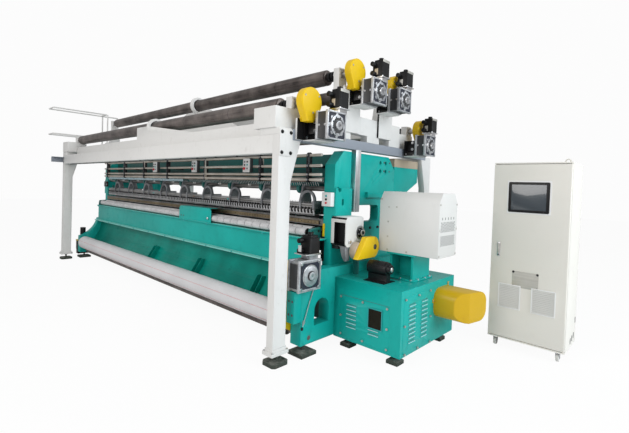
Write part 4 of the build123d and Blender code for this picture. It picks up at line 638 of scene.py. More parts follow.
headKinds = {
    "hex": {"Head Radius": 0.013, "Head Height": 0.010, "Head Sides": 6, "Washer Radius": 0.017,
            "Washer Height": 0.0025},
    "smallHex": {"Head Radius": 0.009, "Head Height": 0.007, "Head Sides": 6, "Washer Radius": 0.011,
                 "Washer Height": 0.002},
    "screw": {"Head Radius": 0.008, "Head Height": 0.004, "Head Sides": 12, "Washer Radius": 0.009,
              "Washer Height": 0.0015},
    "bigHex": {"Head Radius": 0.020, "Head Height": 0.014, "Head Sides": 6, "Washer Radius": 0.027,
               "Washer Height": 0.004},
    # hole: a thin flat disc standing in for a hole; its dark finish is painted shade
    "hole": {"Head Radius": 0.010, "Head Height": 0.0008, "Head Sides": 16, "Washer Radius": 0.012,
             "Washer Height": 0.0005},
}


def fasten(name, kind, placesAndAims, finish, body="root"):
    data = bpy.data.meshes.new(name + "Places")
    data.from_pydata([spot(*place) for place, aim in placesAndAims], [], [])
    aims = data.attributes.new("aim", "FLOAT_VECTOR", "POINT")
    for k, (place, aim) in enumerate(placesAndAims):
        aims.data[k].vector = aim
    return grow(name, trees["fastener"], headKinds[kind], finish, body, data)


soften = {"merge": 1e-5, "flat": 1, "segments": 2, "sharp": 40}


# A copy of a node with rounded edges; a rule may tint its faces and a shift may move its corners
def softenEdges(node, finish, width=3.0, rule=None, shift=None):
    part = bmesh.new()
    part.from_mesh(nodes[node].data)
    bmesh.ops.remove_doubles(part, verts=part.verts, dist=soften["merge"])
    bmesh.ops.dissolve_limit(part, angle_limit=math.radians(soften["flat"]), verts=part.verts,
                             edges=part.edges)
    if shift:
        for v in part.verts:
            v.co += shift(v.co) * mm
    used = [finish]
    for face in part.faces:
        face.smooth = True
        if rule:
            centre = face.calc_center_median()
            place = Vector(((centre.x - gantryX) / mm, (centre.y - gantryY) / mm, centre.z / mm))
            chosen = rule(place, face.normal)
            if chosen not in used:
                used.append(chosen)
            face.material_index = used.index(chosen)
    data = bpy.data.meshes.new(node + "Edged")
    part.to_mesh(data)
    part.free()
    for name in used:
        data.materials.append(finishes[name])
    holder = bpy.data.objects.new(node + "Holder", data)
    scene.collection.objects.link(holder)
    bevel = holder.modifiers.new("edges", "BEVEL")
    bevel.width = width * mm
    bevel.segments = soften["segments"]
    bevel.limit_method = "ANGLE"
    bevel.angle_limit = math.radians(soften["sharp"])
    bevel.harden_normals = True
    name = node + "Edged"
    return settle(name, plainMesh(holder, name), used, homeOf[node], (node,))


# Finishes of the carried-over solids, those with rounded edges first
roundedNodes = {
    "white": "gantry_posts front_beam rear_beam side_beams upper_beams roller_pedestals centre_supports",
    "cabinetWhite": "cabinet_door",
    "teal": "side_frames frame_legs stretcher take_up_bracket roller_cover base_cabinet pedestal "
            "deck_supports",
    # the fabric tray takes the darker teal of painted shade
    "tealTrayPaintedShade": "fabric_tray",
    # the top beam and take-down plates take the dark teal of painted shadow
    "tealPaintedShade": "top_beam take_down_plates",
    "channel": "cable_channels",
    "yellow": "chain_guards chain_cover belt_guard",
    "black": "left_take_up_drive drive_motor",
    "beige": "rear_deck belt_plate",
    "profile": "lift_profile",
    "rubber": "gantry_feet frame_feet",
}
plainNodes = {
    "tube": "press_roller",
    # the hanger arms take the dark teal of painted shadow
    "tealPaintedShade": "hanger_arms",
    "white": "end_rail",
    "grey": "rocker_arms",
    "steel": "rocker_shaft guide_bars needle_bar yarn_rail",
    "black": "crank_hub",
}
gearPlaces = ((-1010, 2147), (-355, 2577), (135, 2577), (765, 2147))
gearTint = {"recess": (3495, 3505), "cover": 3509, "waist": (3392, 3482)}
flangeTint = {"motorOff": 105, "reach": 90, "low": 125, "high": 172}
railLine = {"y": -675, "zs": (1673, 1728, 1821, 1932), "radius": 15.8}
castingHollow = {"standTop": 1000, "x": (3155, 3300), "y": (-618, -550), "z": (1015, 1300)}
bracketFace = {"x": 3219.5, "upper": 600}
# The heights above, edge and slope are in metres, as the node's own mesh is; the moves are in mm
ringBolt = {"above": 1.9175, "shift": 265}
housingTop = {"edge": 1.55, "raise": 20, "slope": 1.45, "drop": -14}
neckTop, lipTop = 968, 775


def within(value, span):
    return span[0] < value < span[1]


def gearboxTint(place, normal):  # dark waist, silver flanges and cover, blue-black recess
    if normal.x > 0.9:
        return "navy" if within(place.x, gearTint["recess"]) else "casting"
    if place.x > gearTint["cover"]:
        return "bright"
    return "darkGrey" if within(place.x, gearTint["waist"]) and abs(normal.x) < 0.3 else "casting"


def motorTint(place, normal):  # silver flange plate and neck under a black body
    f = flangeTint
    for y, z in gearPlaces:
        if abs(place.y - y - f["motorOff"]) < f["reach"] and f["low"] < place.z - z < f["high"]:
            return "bright"
    return "black"


def railTint(place, normal):  # steel rails tinted cream as painted reflection, in dark clamps
    across = min(math.hypot(place.y - railLine["y"], place.z - z) for z in railLine["zs"])
    return "creamReflection" if across < railLine["radius"] else "dark"


def castingTint(place, normal):  # the casting's stand is dark teal as painted shadow, and the hollow in its front is black
    c = castingHollow
    if place.z < c["standTop"]:
        return "tealPaintedShade"
    inside = within(place.y, c["y"]) and within(place.x, c["x"]) and within(place.z, c["z"])
    return "black" if inside else "white"


def bracketTint(place, normal):  # the upper brackets are white, the lower ones only beside their black face
    upper = abs(place.y) < bracketFace["upper"]
    return "white" if place.x < bracketFace["x"] and (upper or normal.x < 0.5) else "black"


def takeUpMotorTint(place, normal):  # silver neck under the black body
    return "casting" if place.z < neckTop else "black"


def lipHighlightTint(place, normal):  # painted highlight: the upper faces of the channel and the edge of its lower lip get a lighter teal where they catch the light
    return "lipHighlight" if normal.z > 0.7 or (normal.y < -0.9 and place.z < lipTop) else "teal"


def ringBoltShift(place):  # the lifting ring stands near the cabinet's right edge
    return Vector((ringBolt["shift"] if place.z > ringBolt["above"] else 0, 0, 0))


def housingShift(place):  # a deeper slope along the top of the housing
    h = housingTop
    return Vector((0, 0, h["raise"] if place.z > h["edge"] else h["drop"] if place.z > h["slope"] else 0))


def dressNodes():
    for finish, names in roundedNodes.items():
        for name in names.split():
            softenEdges(name, finish)
    softenEdges("let_off_gearboxes", "casting", 1.5, gearboxTint)
    softenEdges("take_up_gearbox", "casting", 1.5)
    softenEdges("let_off_motors", "black", 1.5, motorTint)
    softenEdges("take_up_motor", "black", 1.5, takeUpMotorTint)
    softenEdges("gearbox_brackets", "black", 2.5, bracketTint)
    # the stop rails take the cream painted reflection
    softenEdges("stop_rails", "creamReflection", 0.6, railTint)
    softenEdges("crank_casting", "white", 2.5, castingTint)
    softenEdges("cabinet_body", "cabinetWhite", shift=ringBoltShift)
    softenEdges("pattern_housing", "paleGrey", shift=housingShift)
    # the channel's upper faces and lip edge get a painted highlight
    softenEdges("front_channel", "teal", rule=lipHighlightTint)
    for finish, names in plainNodes.items():
        for name in names.split():
            data = nodes[name].data
            data.materials.clear()
            data.materials.append(finishes[finish])
    print("nodes dressed")


dressNodes()


# Let-off rollers: long tubes with end collars, bolted couplings and a black sleeve in the middle ring
rollerShape = {"tube": 82, "reach": 2930, "collar": 70, "collarDepth": 14, "step": 17, "coupling": 52,
               "couplingAt": (2944, 3024), "flange": 30, "waistIn": 14, "sleeve": 88, "sleeveHalf": 34,
               "ringAt": 266, "journal": 28, "bolts": 8, "boltIn": 11, "welds": (-1850, -620, 1180, 2140)}


def makeRoller(node, s):
    low, high = edges(node)
    y, z = middleOf(node)
    piece = Piece(node + "Turned", homeOf[node])
    r, reach, collar, deep = s["tube"], s["reach"], s["collar"], s["collarDepth"]
    shape = [(collar - 8, 0), (collar, 3), (collar, deep), (r - 3, deep), (r, s["step"])]
    full = shape + [(radius, 2 * reach - at) for radius, at in reversed(shape)]
    piece.lathe((-reach, y, z), "x", full, "tube", 48)
    piece.rod((low.x + 1, y, z), (-reach, y, z), s["journal"], "bright", 24, 2)
    piece.rod((reach, y, z), (high.x - 1, y, z), s["journal"], "bright", 24, 2)
    a, b = s["couplingAt"]
    c, thick, waist = s["coupling"], s["flange"], s["coupling"] - s["waistIn"]
    piece.lathe((a, y, z), "x", [(c - 3, 0), (c, 3), (c, thick), (waist, thick + 3),
                                 (waist, b - a - thick - 3),
                                 (c, b - a - thick), (c, b - a - 3), (c - 3, b - a)], "black", 32)
    half, sleeve = s["sleeveHalf"], s["sleeve"]
    piece.lathe((s["ringAt"] - half, y, z), "x", [(r, 0), (sleeve, 2), (sleeve, 2 * half - 2), (r, 2 * half)],
                "black", 48)
    for weld in s["welds"]:  # where the tube's lengths are joined
        piece.lathe((weld, y, z), "x", [(r - 1, 0), (r + 0.9, 1.5), (r + 0.9, 5), (r - 1, 6.5)], "dark", 48)
    piece.done("dark_steel", node)
    ring = ringOf(c - s["boltIn"], s["bolts"])
    places = facing([(b - 2, y + u, z + v) for u, v in ring], toRight)
    places += facing([(a + 2, y + u, z + v) for u, v in ring], toLeft)
    fasten(node + "CouplingBolts", "smallHex", places, "dark", homeOf[node])


rollerNodes = ("roller_front_low", "roller_front_high", "roller_rear_high", "roller_rear_low")
for node in rollerNodes:
    makeRoller(node, rollerShape)


# White bearing discs on both faces of every bearing plate, with a grey ball race and its bolts
bearing = {"plates": ((3052, 3128), (-3128, -3052)), "disc": 62, "race": 46, "bore": 33, "proud": 5,
           "raceIn": 2, "boltRing": 54, "bolts": 4}


def makeBearings(s):
    piece = Piece("bearingDiscs")
    places = []
    rings = ((s["disc"], s["race"], s["proud"], "frameWhite"),
             (s["race"], s["bore"], s["proud"] - s["raceIn"], "satin"))
    turns = ringOf(s["boltRing"], s["bolts"], math.radians(45))
    for node in rollerNodes:
        y, z = middleOf(node)
        for left, right in s["plates"]:
            for face, way in ((left, -1), (right, 1)):
                for outer, inner, proud, finish in rings:
                    start = min(face, face + way * proud)
                    piece.lathe((start, y, z), "x", flatRing(inner, outer, proud), finish, 36, True)
                places += facing([(face + way * s["proud"], y + u, z + v) for u, v in turns], (way, 0, 0))
    piece.done("white_paint")
    fasten("bearingBolts", "smallHex", places, "bright")


makeBearings(bearing)


# Thin rings beside the middle supports, and the conduit clipped under the front beam
middle = {"at": 266, "gap": 25, "outer": 104, "inner": 93, "width": 9}


def makeMiddleRings(s):
    piece = Piece("middleRings")
    shape = flatRing(s["inner"], s["outer"], s["width"])
    for node in rollerNodes:
        y, z = middleOf(node)
        for start in (s["at"] - s["gap"] - s["width"], s["at"] + s["gap"]):
            piece.lathe((start, y, z), "x", shape, "frameWhite", 40, True)
    piece.done("white_paint")


makeMiddleRings(middle)
conduit = {"y": -1318, "z": 1876, "radius": 6, "reach": 3030, "clipStart": -2850, "clipStep": 380,
           "clips": 16,
           "clipSize": (16, 22, 14), "clipUp": 2}


def makeConduit(c):
    piece = Piece("beamConduit")
    piece.pipe([(end * c["reach"], c["y"], c["z"]) for end in (-1, 1)], c["radius"], "dark")
    piece.done("black_paint")
    row("conduitClips", (c["clipStart"], c["y"], c["z"] + c["clipUp"]), (c["clipStep"], 0, 0), c["clips"],
        c["clipSize"], "black", slotName="black_paint")


makeConduit(conduit)


# Bolts of the gantry: post feet, plate on the right front post, upper beams, splice plates
gantry = {"postX": 3150, "postY": 1330, "footZ": 128, "footX": 56, "footY": 86, "postFace": 3205,
          "plateOut": 52, "plateZ": (1890, 2070), "beamY": (-490, 270),
          "beamX": (-2700, -1500, -300, 900, 2100),
          "beamOut": 45, "beamZ": (2240, 2330), "pairHalf": 30, "spliceFace": -1271, "spliceZ": 1967,
          "spliceHalf": 45, "spliceX": (-60, 60, 640, 760, 1340, 1456)}


def makeGantryBolts(g):
    feet, rails = [], []
    for x in (-g["postX"], g["postX"]):
        for y in (-g["postY"], g["postY"]):
            feet += facing([(x + u, y + v, g["footZ"]) for u, v in cornersOf(g["footX"], g["footY"])], upward)
    fasten("postFootBolts", "smallHex", feet, "bright")
    plates = [(g["postFace"], -g["postY"] + u, z)
              for u in (-g["plateOut"], g["plateOut"]) for z in g["plateZ"]]
    fasten("skirtPlateBolts", "hex", facing(plates, toRight), "black")
    for y in g["beamY"]:
        way = 1 if y > 0 else -1
        for x in g["beamX"]:
            rails += facing([(x + a * g["pairHalf"], y + way * g["beamOut"], z) for a in (-1, 1)
                             for z in g["beamZ"]], (0, way, 0))
    fasten("upperBeamBolts", "smallHex", rails, "bright")
    splice = [(x, g["spliceFace"], g["spliceZ"] + v) for x in g["spliceX"]
              for v in (-g["spliceHalf"], g["spliceHalf"])]
    fasten("splicePlateBolts", "hex", facing(splice, toFront), "bright")


makeGantryBolts(gantry)
print("gantry dressed")


# Drives: bolts, labels, covers and windows of the four worm gearboxes and their motors
gear = {"face": 3508.3, "half": 126, "cornerIn": 14, "motorOff": 105, "motorX": 3436.3, "motorHalf": 64,
        "lobeRing": 74, "lobes": 8, "window": (15, 9, 8), "windowAt": (-92, -98), "bracket": (3219, 3226),
        "trayEnd": 3364, "grooves": 4, "groovePitch": 28, "groove": (56, 186), "tag": (190, 216),
        "labelZ": (66, 130), "sideX": (3400, 3470), "sideIn": 9, "feet": 56, "feetUp": 44, "guardRing": 100,
        "guardFace": 3330, "mountX": 3300, "mountZ": (-40, 40), "mountY": (-90, 90)}
hubRings = ((12, [(44, 0), (66, 0), (68, 2), (66, 4), (44, 4)], "darkGrey", 40),
            (20, [(16, 0), (32, 0), (34, 2), (34, 9), (31, 12), (16, 12)], "bright", 32))


def makeGearDetails(piece, s, y, z, labelFinish):
    face, half, middleX, bodyHalf = s["face"], s["half"], s["motorX"], s["motorHalf"]
    for out, shape, finish, sides in hubRings:
        piece.lathe((face + out, y, z), "x", shape, finish, sides, True)
    a, b = s["windowAt"]
    piece.slab(moved(roundedOutline(*s["window"]), y + a, z + b), "x", face, 2.5, "navy")
    motorY, seat = y + s["motorOff"], z + half
    low, high = s["labelZ"]
    piece.block((middleX - 34, motorY - bodyHalf - 1.2, seat + low),
                (middleX + 6, motorY - bodyHalf + 1, seat + high),
                labelFinish, 0.4)
    left, right = s["bracket"]
    piece.block((left, y - half, z - half), (right, y + half, z + 0.5 * half), "black", 1)
    piece.block((left, y - half, z - half - 8), (s["trayEnd"], y + half, z - half), "white", 1.5)
    low, high = s["groove"]
    for turn in range(s["grooves"]):  # cooling grooves between the body's corners
        x = middleX + (turn - (s["grooves"] - 1) / 2) * s["groovePitch"]
        piece.block((x - 3, motorY + bodyHalf - 1, seat + low), (x + 3, motorY + bodyHalf + 2, seat + high),
                    "dark", 0.8)
    low, high = s["tag"]
    piece.block((middleX + 62, motorY - 60, seat + low), (middleX + 66, motorY + 60, seat + high), "plate",
                0.8)


def makeDriveDetails(s):
    piece = Piece("driveDetails")
    bolts, lobes, sides, mounts, guards = [], [], [], [], []
    face, half = s["face"], s["half"]
    inner = half - s["cornerIn"]
    for index, (y, z) in enumerate(gearPlaces):
        makeGearDetails(piece, s, y, z, "label" if index in (0, 1) else "plate")
        bolts += facing([(face, y + u, z + v) for u, v in cornersOf(inner, inner)], toRight)
        ring = ringOf(s["lobeRing"], s["lobes"], math.radians(22.5))
        lobes += facing([(face + 8, y + u, z + v) for u, v in ring], toRight)
        sides += facing([(x, y - half + s["sideIn"], z) for x in s["sideX"]], toFront)
        sides += facing([(s["motorX"] + u, y + s["motorOff"] + v, z + half + s["feetUp"])
                         for u, v in cornersOf(s["feet"], s["feet"])], upward)
        mounts += facing([(s["mountX"], y - 66, z + v) for v in s["mountZ"]], toFront)
        mounts += facing([(bracketFace["x"], y + u, z - 100) for u in s["mountY"]], toRight)
    piece.done("cast_metal")
    fasten("gearboxCornerBolts", "smallHex", bolts, "bright")
    fasten("gearboxCoverScrews", "screw", lobes, "dark")
    fasten("gearboxSideBolts", "smallHex", sides, "bright")
    fasten("gearboxMountBolts", "hex", mounts, "bright")
    for node in rollerNodes:
        y, z = middleOf(node)
        guards += facing([(s["guardFace"], y + u, z + v) for u, v in ringOf(s["guardRing"], 3, 0.6)], toRight)
    fasten("chainGuardScrews", "screw", guards, "plate")


makeDriveDetails(gear)
print("drives dressed")


# Knitting head: clamps and bolts on the stop rails, yarn hooks and their small plates
head = {"clampX": (-2860, -2000, -1140, -280, 840, 2060, 2860), "boltFace": -706, "clampHalf": 40,
        "shade": (6, -17.5, -13),
        "plates": {"start": (-2900, -651, 1634), "step": 44, "count": 70, "size": (22, 4, 44)},
        "hooks": {"start": (360, -652, 1630), "step": 34, "count": 78, "size": (2.6, 46)},
        "wires": {"start": (-2960, -640, 1742), "step": 17, "count": 350, "size": (1.4, 92)},
        "pegs": {"start": (-2805, -648, 1600), "step": 660, "count": 9, "size": (11, 30)},
        "pegBands": {"start": (-2805, -659, 1600), "step": 660, "count": 9, "size": (12, 6)}}


def alongX(name, r, finish, **more):  # a row whose places, sizes and count come from its settings
    row(name, r["start"], (r["step"], 0, 0), r["count"], r["size"], finish, **more)


def makeRailDetails(h):
    zs, y = railLine["zs"], railLine["y"]
    fasten("railClampBolts", "smallHex", facing([(x, h["boltFace"], z) for x in h["clampX"] for z in zs],
                                                toFront),
           "bright")
    # bronze strips under each rail between the clamps are painted shade
    under = Piece("railShade")
    half, low, high = h["shade"]
    for z in zs:
        for left, right in zip(h["clampX"], h["clampX"][1:]):
            under.block((left + h["clampHalf"], y - half, z + low),
                        (right - h["clampHalf"], y + half, z + high),
                        "bronze", 1)
    under.done("bright_steel")
    # the small yarn plates are pale blue as painted highlight
    alongX("yarnPlates", h["plates"], "iceHighlight", turn=(24, 0, 14), jitter=0.15)
    alongX("yarnHooks", h["hooks"], "bright", turn=(28, 0, 0), jitter=0.1)
    alongX("yarnWires", h["wires"], "dark", turn=(6, 0, 0), slotName="dark_steel")
    alongX("railPegs", h["pegs"], "frameWhite", turn=(90, 0, 0), slotName="grey_plastic")
    alongX("railPegBands", h["pegBands"], "dark", turn=(90, 0, 0), slotName="black_paint")


makeRailDetails(head)


# Push-button boxes on the rails, and the small one with a row of buttons at the right end
buttonBox = {"places": ((-600, 1832), (640, 1832), (1862, 1832)), "front": -750.3, "back": -690.3,
             "halfX": 62,
             "halfZ": 84, "mushroom": (-26, -38), "buttons": ((26, -38, "grey"), (-26, 6, "black"),
                                                              (26, 6, "tealSide"), (-26, 44, "grey"),
                                                              (26, 44, "black")),
             "sideBox": (3060, -680, -622, 1548), "sideButtons": ("red", "black", "tealSide"),
             "sideAt": (3120, -679, 1440), "sideStep": 36}
mushroomShape = [(14, -1), (14, 8), (17, 9), (18, 14), (12, 19), (0, 20)]
buttonShape = [(11, -1), (11, 3), (9, 4), (9, 9), (7, 10)]
sideButtonShape = [(12, -1), (12, 3), (10, 4), (10, 9), (8, 10)]


def makeBoxes(s):
    piece = Piece("pushButtonBoxes")
    front, halfX, halfZ = s["front"], s["halfX"], s["halfZ"]
    for x, z in s["places"]:
        piece.block((x - halfX, front + 12, z - halfZ), (x + halfX, s["back"], z + halfZ), "darkGrey", 4)
        piece.slab(moved(roundedOutline(halfX - 1, halfZ - 1, 10), x, z), "y", front, 14, "frameWhite", 2)
        a, b = s["mushroom"]
        piece.lathe((x + a, front + 1, z + b), toFront, mushroomShape, "red", 24)
        for a, b, finish in s["buttons"]:
            piece.lathe((x + a, front + 1, z + b), toFront, buttonShape, finish, 20)
    low, high = edges("button_boxes")
    left, near, far, top = s["sideBox"]
    piece.block((left, near, low.z + 2), (high.x - 2, far, top), "frameWhite", 5)
    x, y, z = s["sideAt"]
    for k, finish in enumerate(s["sideButtons"]):
        piece.lathe((x, y, z + k * s["sideStep"]), toFront, sideButtonShape, finish, 20)
    piece.done("grey_plastic", "button_boxes")


makeBoxes(buttonBox)


# Guide bars: blocks of guides in front and behind, with fine guide needles under them
guideSetup = {"reach": 2900,
              "darkBlocks": {"start": (-2900, -640, 1352), "step": 50.8, "count": 115, "size": (24, 9, 62)},
              "brightBlocks": {"start": (-2875, -642, 1336), "step": 50.8, "count": 115, "size": (19, 7, 44)},
              "screws": {"start": (-2875, -647, 1344), "step": 50.8, "count": 115, "size": (4.5, 5)},
              "needles": {"start": (-2900, -643, 1306), "step": 12.7, "count": 460, "size": (1.3, 30)},
              "pins": {"start": (-2890, -630, 1425), "step": 25.4, "count": 230, "size": (1.6, 26)},
              "pinRow": (0, 28, 0), "pinRows": 3, "edgeZ": (1312, 1384, 1412), "edge": (-636.5, -633, 3),
              "tags": ((-2410, "tealSide"), (-1730, "bronze"), (-880, "tealSide"), (450, "bronze"),
                       (1320, "tealSide")), "tagSize": (34, 6, 18), "tagAt": (-640, 1390)}


def makeGuides(g):
    body = "guide_bars"
    alongX("guideBarBlocksDark", g["darkBlocks"], "black", body=body, turn=(0, 12, 0))
    alongX("guideBarBlocksBright", g["brightBlocks"], "satin", body=body, turn=(0, -16, 0))
    alongX("guideBarScrews", g["screws"], "bright", body=body, turn=(90, 0, 0))
    alongX("guideBarNeedles", g["needles"], "bright", body=body)
    alongX("guideBarTopPins", g["pins"], "bright", body=body, rowStep=g["pinRow"], rows=g["pinRows"])
    piece = Piece("guideBarEdges", body)
    near, far, half = g["edge"]
    for z in g["edgeZ"]:
        piece.block((-g["reach"] - 20, near, z - half), (g["reach"] + 20, far, z + half), "bright", 0.8)
    long, deep, tall = g["tagSize"]
    y, z = g["tagAt"]
    for x, finish in g["tags"]:
        piece.block((x, y, z), (x + long, y + deep, z + tall), finish, 1)
    piece.done("bright_steel")


makeGuides(guideSetup)


# Needle bar: brass strip with its screws, and the needles that stand in it
needleSetup = {"needles": {"start": (-2985, -598, 1256), "step": 12.7, "count": 470, "size": (1.5, 26)},
               "plateStart": -2955, "plateZ": 1226, "plateStep": 101.6, "plates": 59,
               "plateSize": (97, 3, 40),
               "screwSize": (6, 3)}


def makeNeedles(n):
    front = edges("needle_bar")[0].y
    alongX("needles", n["needles"], "bright", body="needle_bar")
    row("needleTrickPlates", (n["plateStart"], front - 0.5, n["plateZ"]), (n["plateStep"], 0, 0), n["plates"],
        n["plateSize"], "brass", "needle_bar")
    row("needleStripScrews", (n["plateStart"], front - 2.5, n["plateZ"]), (n["plateStep"], 0, 0), n["plates"],
        n["screwSize"], "dark", "needle_bar", turn=(90, 0, 0))


makeNeedles(needleSetup)


# Take-down rollers in short covered lengths with dark joints, and the slots and knob of their cover
takeDown = {"radius": 41.8, "core": 38.5, "reach": 2940, "step": 147, "length": 139, "count": 40,
            "journal": 15,
            "journalEnd": 60, "slots": (60, 130), "slotZ": 50, "knob": (-60, 60)}
knobShape = [(9, 0), (9, 12), (16, 14), (17, 22), (12, 26)]


def makeTakeDown(t):
    core, journal, end = t["core"], t["journal"], t["journalEnd"]
    for node in ("take_down_roller_front", "take_down_roller_rear"):
        low, high = edges(node)
        y, z = middleOf(node)
        long = high.x - low.x
        piece = Piece(node + "Core", homeOf[node])
        piece.lathe((low.x + 1, y, z), "x", [(journal - 2, 0), (journal, 2), (journal, end), (core, end + 2),
                                             (core, long - end - 4), (journal, long - end - 2),
                                             (journal, long - 4),
                                             (journal - 2, long - 2)], "dark", 32)
        piece.done("dark_steel", node)
        row(node + "Sleeves", (-t["reach"] + t["step"] / 2, y, z), (t["step"], 0, 0), t["count"],
            (t["radius"], t["length"]), "sleeve", homeOf[node], turn=(0, 90, 0))
    low, high = edges("roller_cover")
    piece = Piece("rollerCoverDetails")
    for x in t["slots"]:
        # the cover's slots are dark patches painted as shade
        piece.slab(moved(roundedOutline(16, 9, 8), low.x + x, low.z + t["slotZ"]), "y", low.y - 0.8, 2,
                   "slot")
    x, z = t["knob"]
    piece.lathe((high.x + x, low.y + 1, low.z + z), toFront, knobShape, "bright", 24)
    piece.done("bright_steel")


makeTakeDown(takeDown)


# Wound cloth with fine rings and two red lines
roll = {"radius": 117.4, "reach": 2940, "ring": 30.0, "seed": 11, "core": 38,
        "lines": ((158, 1.3), (214, 0.9))}


def makeClothRoll(r):
    random.seed(r["seed"])
    low, high = edges("cloth_roll")
    y, z = middleOf("cloth_roll")
    radius, reach, core = r["radius"], r["reach"], r["core"]
    piece = Piece("woundCloth", "cloth_roll")
    shape, at = [(core, 0), (radius - 3, 0.5)], 3.0
    while at < 2 * reach - r["ring"]:
        swell = radius - random.uniform(0.0, 1.6)
        width = r["ring"] * random.uniform(0.5, 1.6)
        shape += [(swell, at), (swell, at + width - 2.5), (swell - 1.3, at + width - 1.2)]
        at += width
    shape += [(radius - 3, 2 * reach - 0.5), (core, 2 * reach)]
    piece.lathe((-reach, y, z), "x", shape, "cloth", 48, False)
    for start, end in ((low.x + 1, 2 - reach), (reach - 2, high.x - 1)):
        piece.rod((start, y, z), (end, y, z), core - 4, "bright", 32, 2)
    piece.done("cloth", "cloth_roll")
    line = Piece("clothEdgeLine", "cloth_roll")
    for angle, width in r["lines"]:
        t = math.radians(angle)
        a, b = y + math.cos(t) * radius, z + math.sin(t) * radius
        line.rod((6 - reach, a, b), (reach - 6, a, b), width, "red", 6)
    line.done("cloth")


makeClothRoll(roll)
channelBolts = {"first": -2900, "last": 3000, "step": 580, "zs": (1058, 770)}


def makeFrontBolts(c):
    face = edges("front_channel")[0].y
    places = [(x, face, z) for x in range(c["first"], c["last"], c["step"]) for z in c["zs"]]
    fasten("frontChannelBolts", "smallHex", facing(places, toFront), "tealSide")


makeFrontBolts(channelBolts)


# Take-up drive at the right leg: cover, bolts, motor label, lever and its rod
takeUp = {"face": 3280, "recess": 118, "sidePlate": (3158, 3256, 112),
          "flange": ((3126, -1110, 966), (3285, -903, 976)),
          "label": (3168, 3206, 992, 1052), "coverRing": 68, "bracketHoles": ((0.28, 0.72), (90, 215)),
          "leverX": 3243, "lever": [(-905, 760), (-885, 768), (-862, 700), (-850, 640), (-868, 636),
                                    (-884, 690)],
          "rod": ((-1085, 300), (-1000, 520), (-905, 740)), "grip": (-1087, 294)}
takeUpRings = ((0.8, [(52, 0), (100, 0), (102, 2), (102, 5), (98, 8), (52, 8)], "bright", 48),
               (9, [(15, 0), (44, 0), (46, 3), (46, 14), (42, 18), (15, 18)], "dark", 36),
               (20, [(3, 0), (20, 0), (20, 8), (3, 9)], "bright", 28))
gripShape = [(5, 0), (10, 6), (12, 16), (10, 26), (4, 31)]


def makeTakeUp(s):
    front = edges("take_up_gearbox")[0].y
    y, z = middleOf("take_up_gearbox")
    face, recess = s["face"], s["recess"]
    piece = Piece("takeUpDetails")
    piece.slab(moved(roundedOutline(recess, recess, 12), y, z), "x", face, 0.8, "navy")
    for out, shape, finish, sides in takeUpRings:
        piece.lathe((face + out, y, z), "x", shape, finish, sides, True)
    left, right, half = s["sidePlate"]
    piece.block((left, front - 0.6, z - half), (right, front + 2, z + half), "darkGrey", 0.5)
    piece.block(*s["flange"], "bright", 1)
    motorFront = edges("take_up_motor")[0].y
    left, right, bottom, top = s["label"]
    piece.block((left, motorFront - 0.8, bottom), (right, motorFront + 2, top), "frameWhite", 0.5)
    piece.done("cast_metal")
    corners = [(face, y + u, z + v) for u, v in cornersOf(recess, recess)]
    ring = [(face + 6, y + u, z + v) for u, v in ringOf(s["coverRing"], 8, 0.4)]
    fasten("takeUpCornerBolts", "hex", facing(corners, toRight), "bright")
    fasten("takeUpCoverScrews", "screw", facing(ring, toRight), "bright")
    low, high = edges("take_up_bracket")
    shares, depths = s["bracketHoles"]
    holes = [(low.x + share * (high.x - low.x), low.y, high.z - deep) for share in shares for deep in depths]
    fasten("takeUpBracketHoles", "hole", facing(holes, toFront), "slot")
    lever = Piece("legLever")
    x = s["leverX"]
    lever.slab(s["lever"], "x", x - 11, 10, "black", 1.5)
    lever.pipe([(x, y, z) for y, z in s["rod"]], 5, "bright")
    lever.lathe((x, *s["grip"]), (0, -0.35, -1), gripShape, "black", 20)
    lever.done("black_paint")


makeTakeUp(takeUp)


# Back plate of the needle bed with its ribs; the ribs are dark teal as painted shadow
bed = {"y": -455, "thick": 12, "low": 900, "high": 1288, "reach": 3040, "bar": (26, 1120, 1150),
       "ribStart": -2850, "ribStep": 380, "ribs": 16, "ribSize": (14, 18, 150), "ribZ": 1200}


def makeBed(b):
    piece = Piece("needleBedPlate")
    piece.block((-b["reach"], b["y"], b["low"]), (b["reach"], b["y"] + b["thick"], b["high"]), "darkGrey", 2)
    deep, low, high = b["bar"]
    piece.block((-b["reach"], b["y"] - deep, low), (b["reach"], b["y"], high), "steel", 3)
    piece.done("dark_steel")
    row("needleBedRibs", (b["ribStart"], b["y"] - 9, b["ribZ"]), (b["ribStep"], 0, 0), b["ribs"],
        b["ribSize"],
        "tealPaintedShade", slotName="teal_paint")


makeBed(bed)


# Black and yellow strips at the frames, a tie plate behind the leg in dark teal as painted shadow, and the
# housing of the left drive
frameEdge = {"blocks": (((3044, -634, 1088), (3066, -621, 1222), "yellow", 2),
                        ((3032, -636, 830), (3066, -621, 1086), "black", 2),
                        ((2450, -400, 120), (3145, -388, 600), "tealPaintedShade", 2)),
             "housing": (150, 325, 5, 4), "cap": (338, 20, 9),
             "bracket": ((-3190, -640, 1452), (-3010, -621, 1560)),
             "stud": (-3040, -639, 1500)}
studShape = [(16, -1), (16, 4), (11, 6), (10, 14), (0, 15)]


def makeFrameEdge(f):
    edge = Piece("frameEdgeParts")
    for low, high, finish, width in f["blocks"]:
        edge.block(low, high, finish, width)
    driveLow, driveHigh = edges("left_take_up_drive")
    legFront = edges("frame_legs")[0].y
    bottom, top, out, back = f["housing"]
    edge.block((driveLow.x, legFront - out, bottom), (driveHigh.x, legFront + back, top), "black", 3)
    capTop, wide, out = f["cap"]
    edge.block((driveLow.x - wide, legFront - out, top), (driveHigh.x + wide, legFront + back, capTop),
               "yellow", 2)
    edge.block(*f["bracket"], "black", 4)
    edge.lathe(f["stud"], toFront, studShape, "bright", 20)
    edge.done("black_paint")


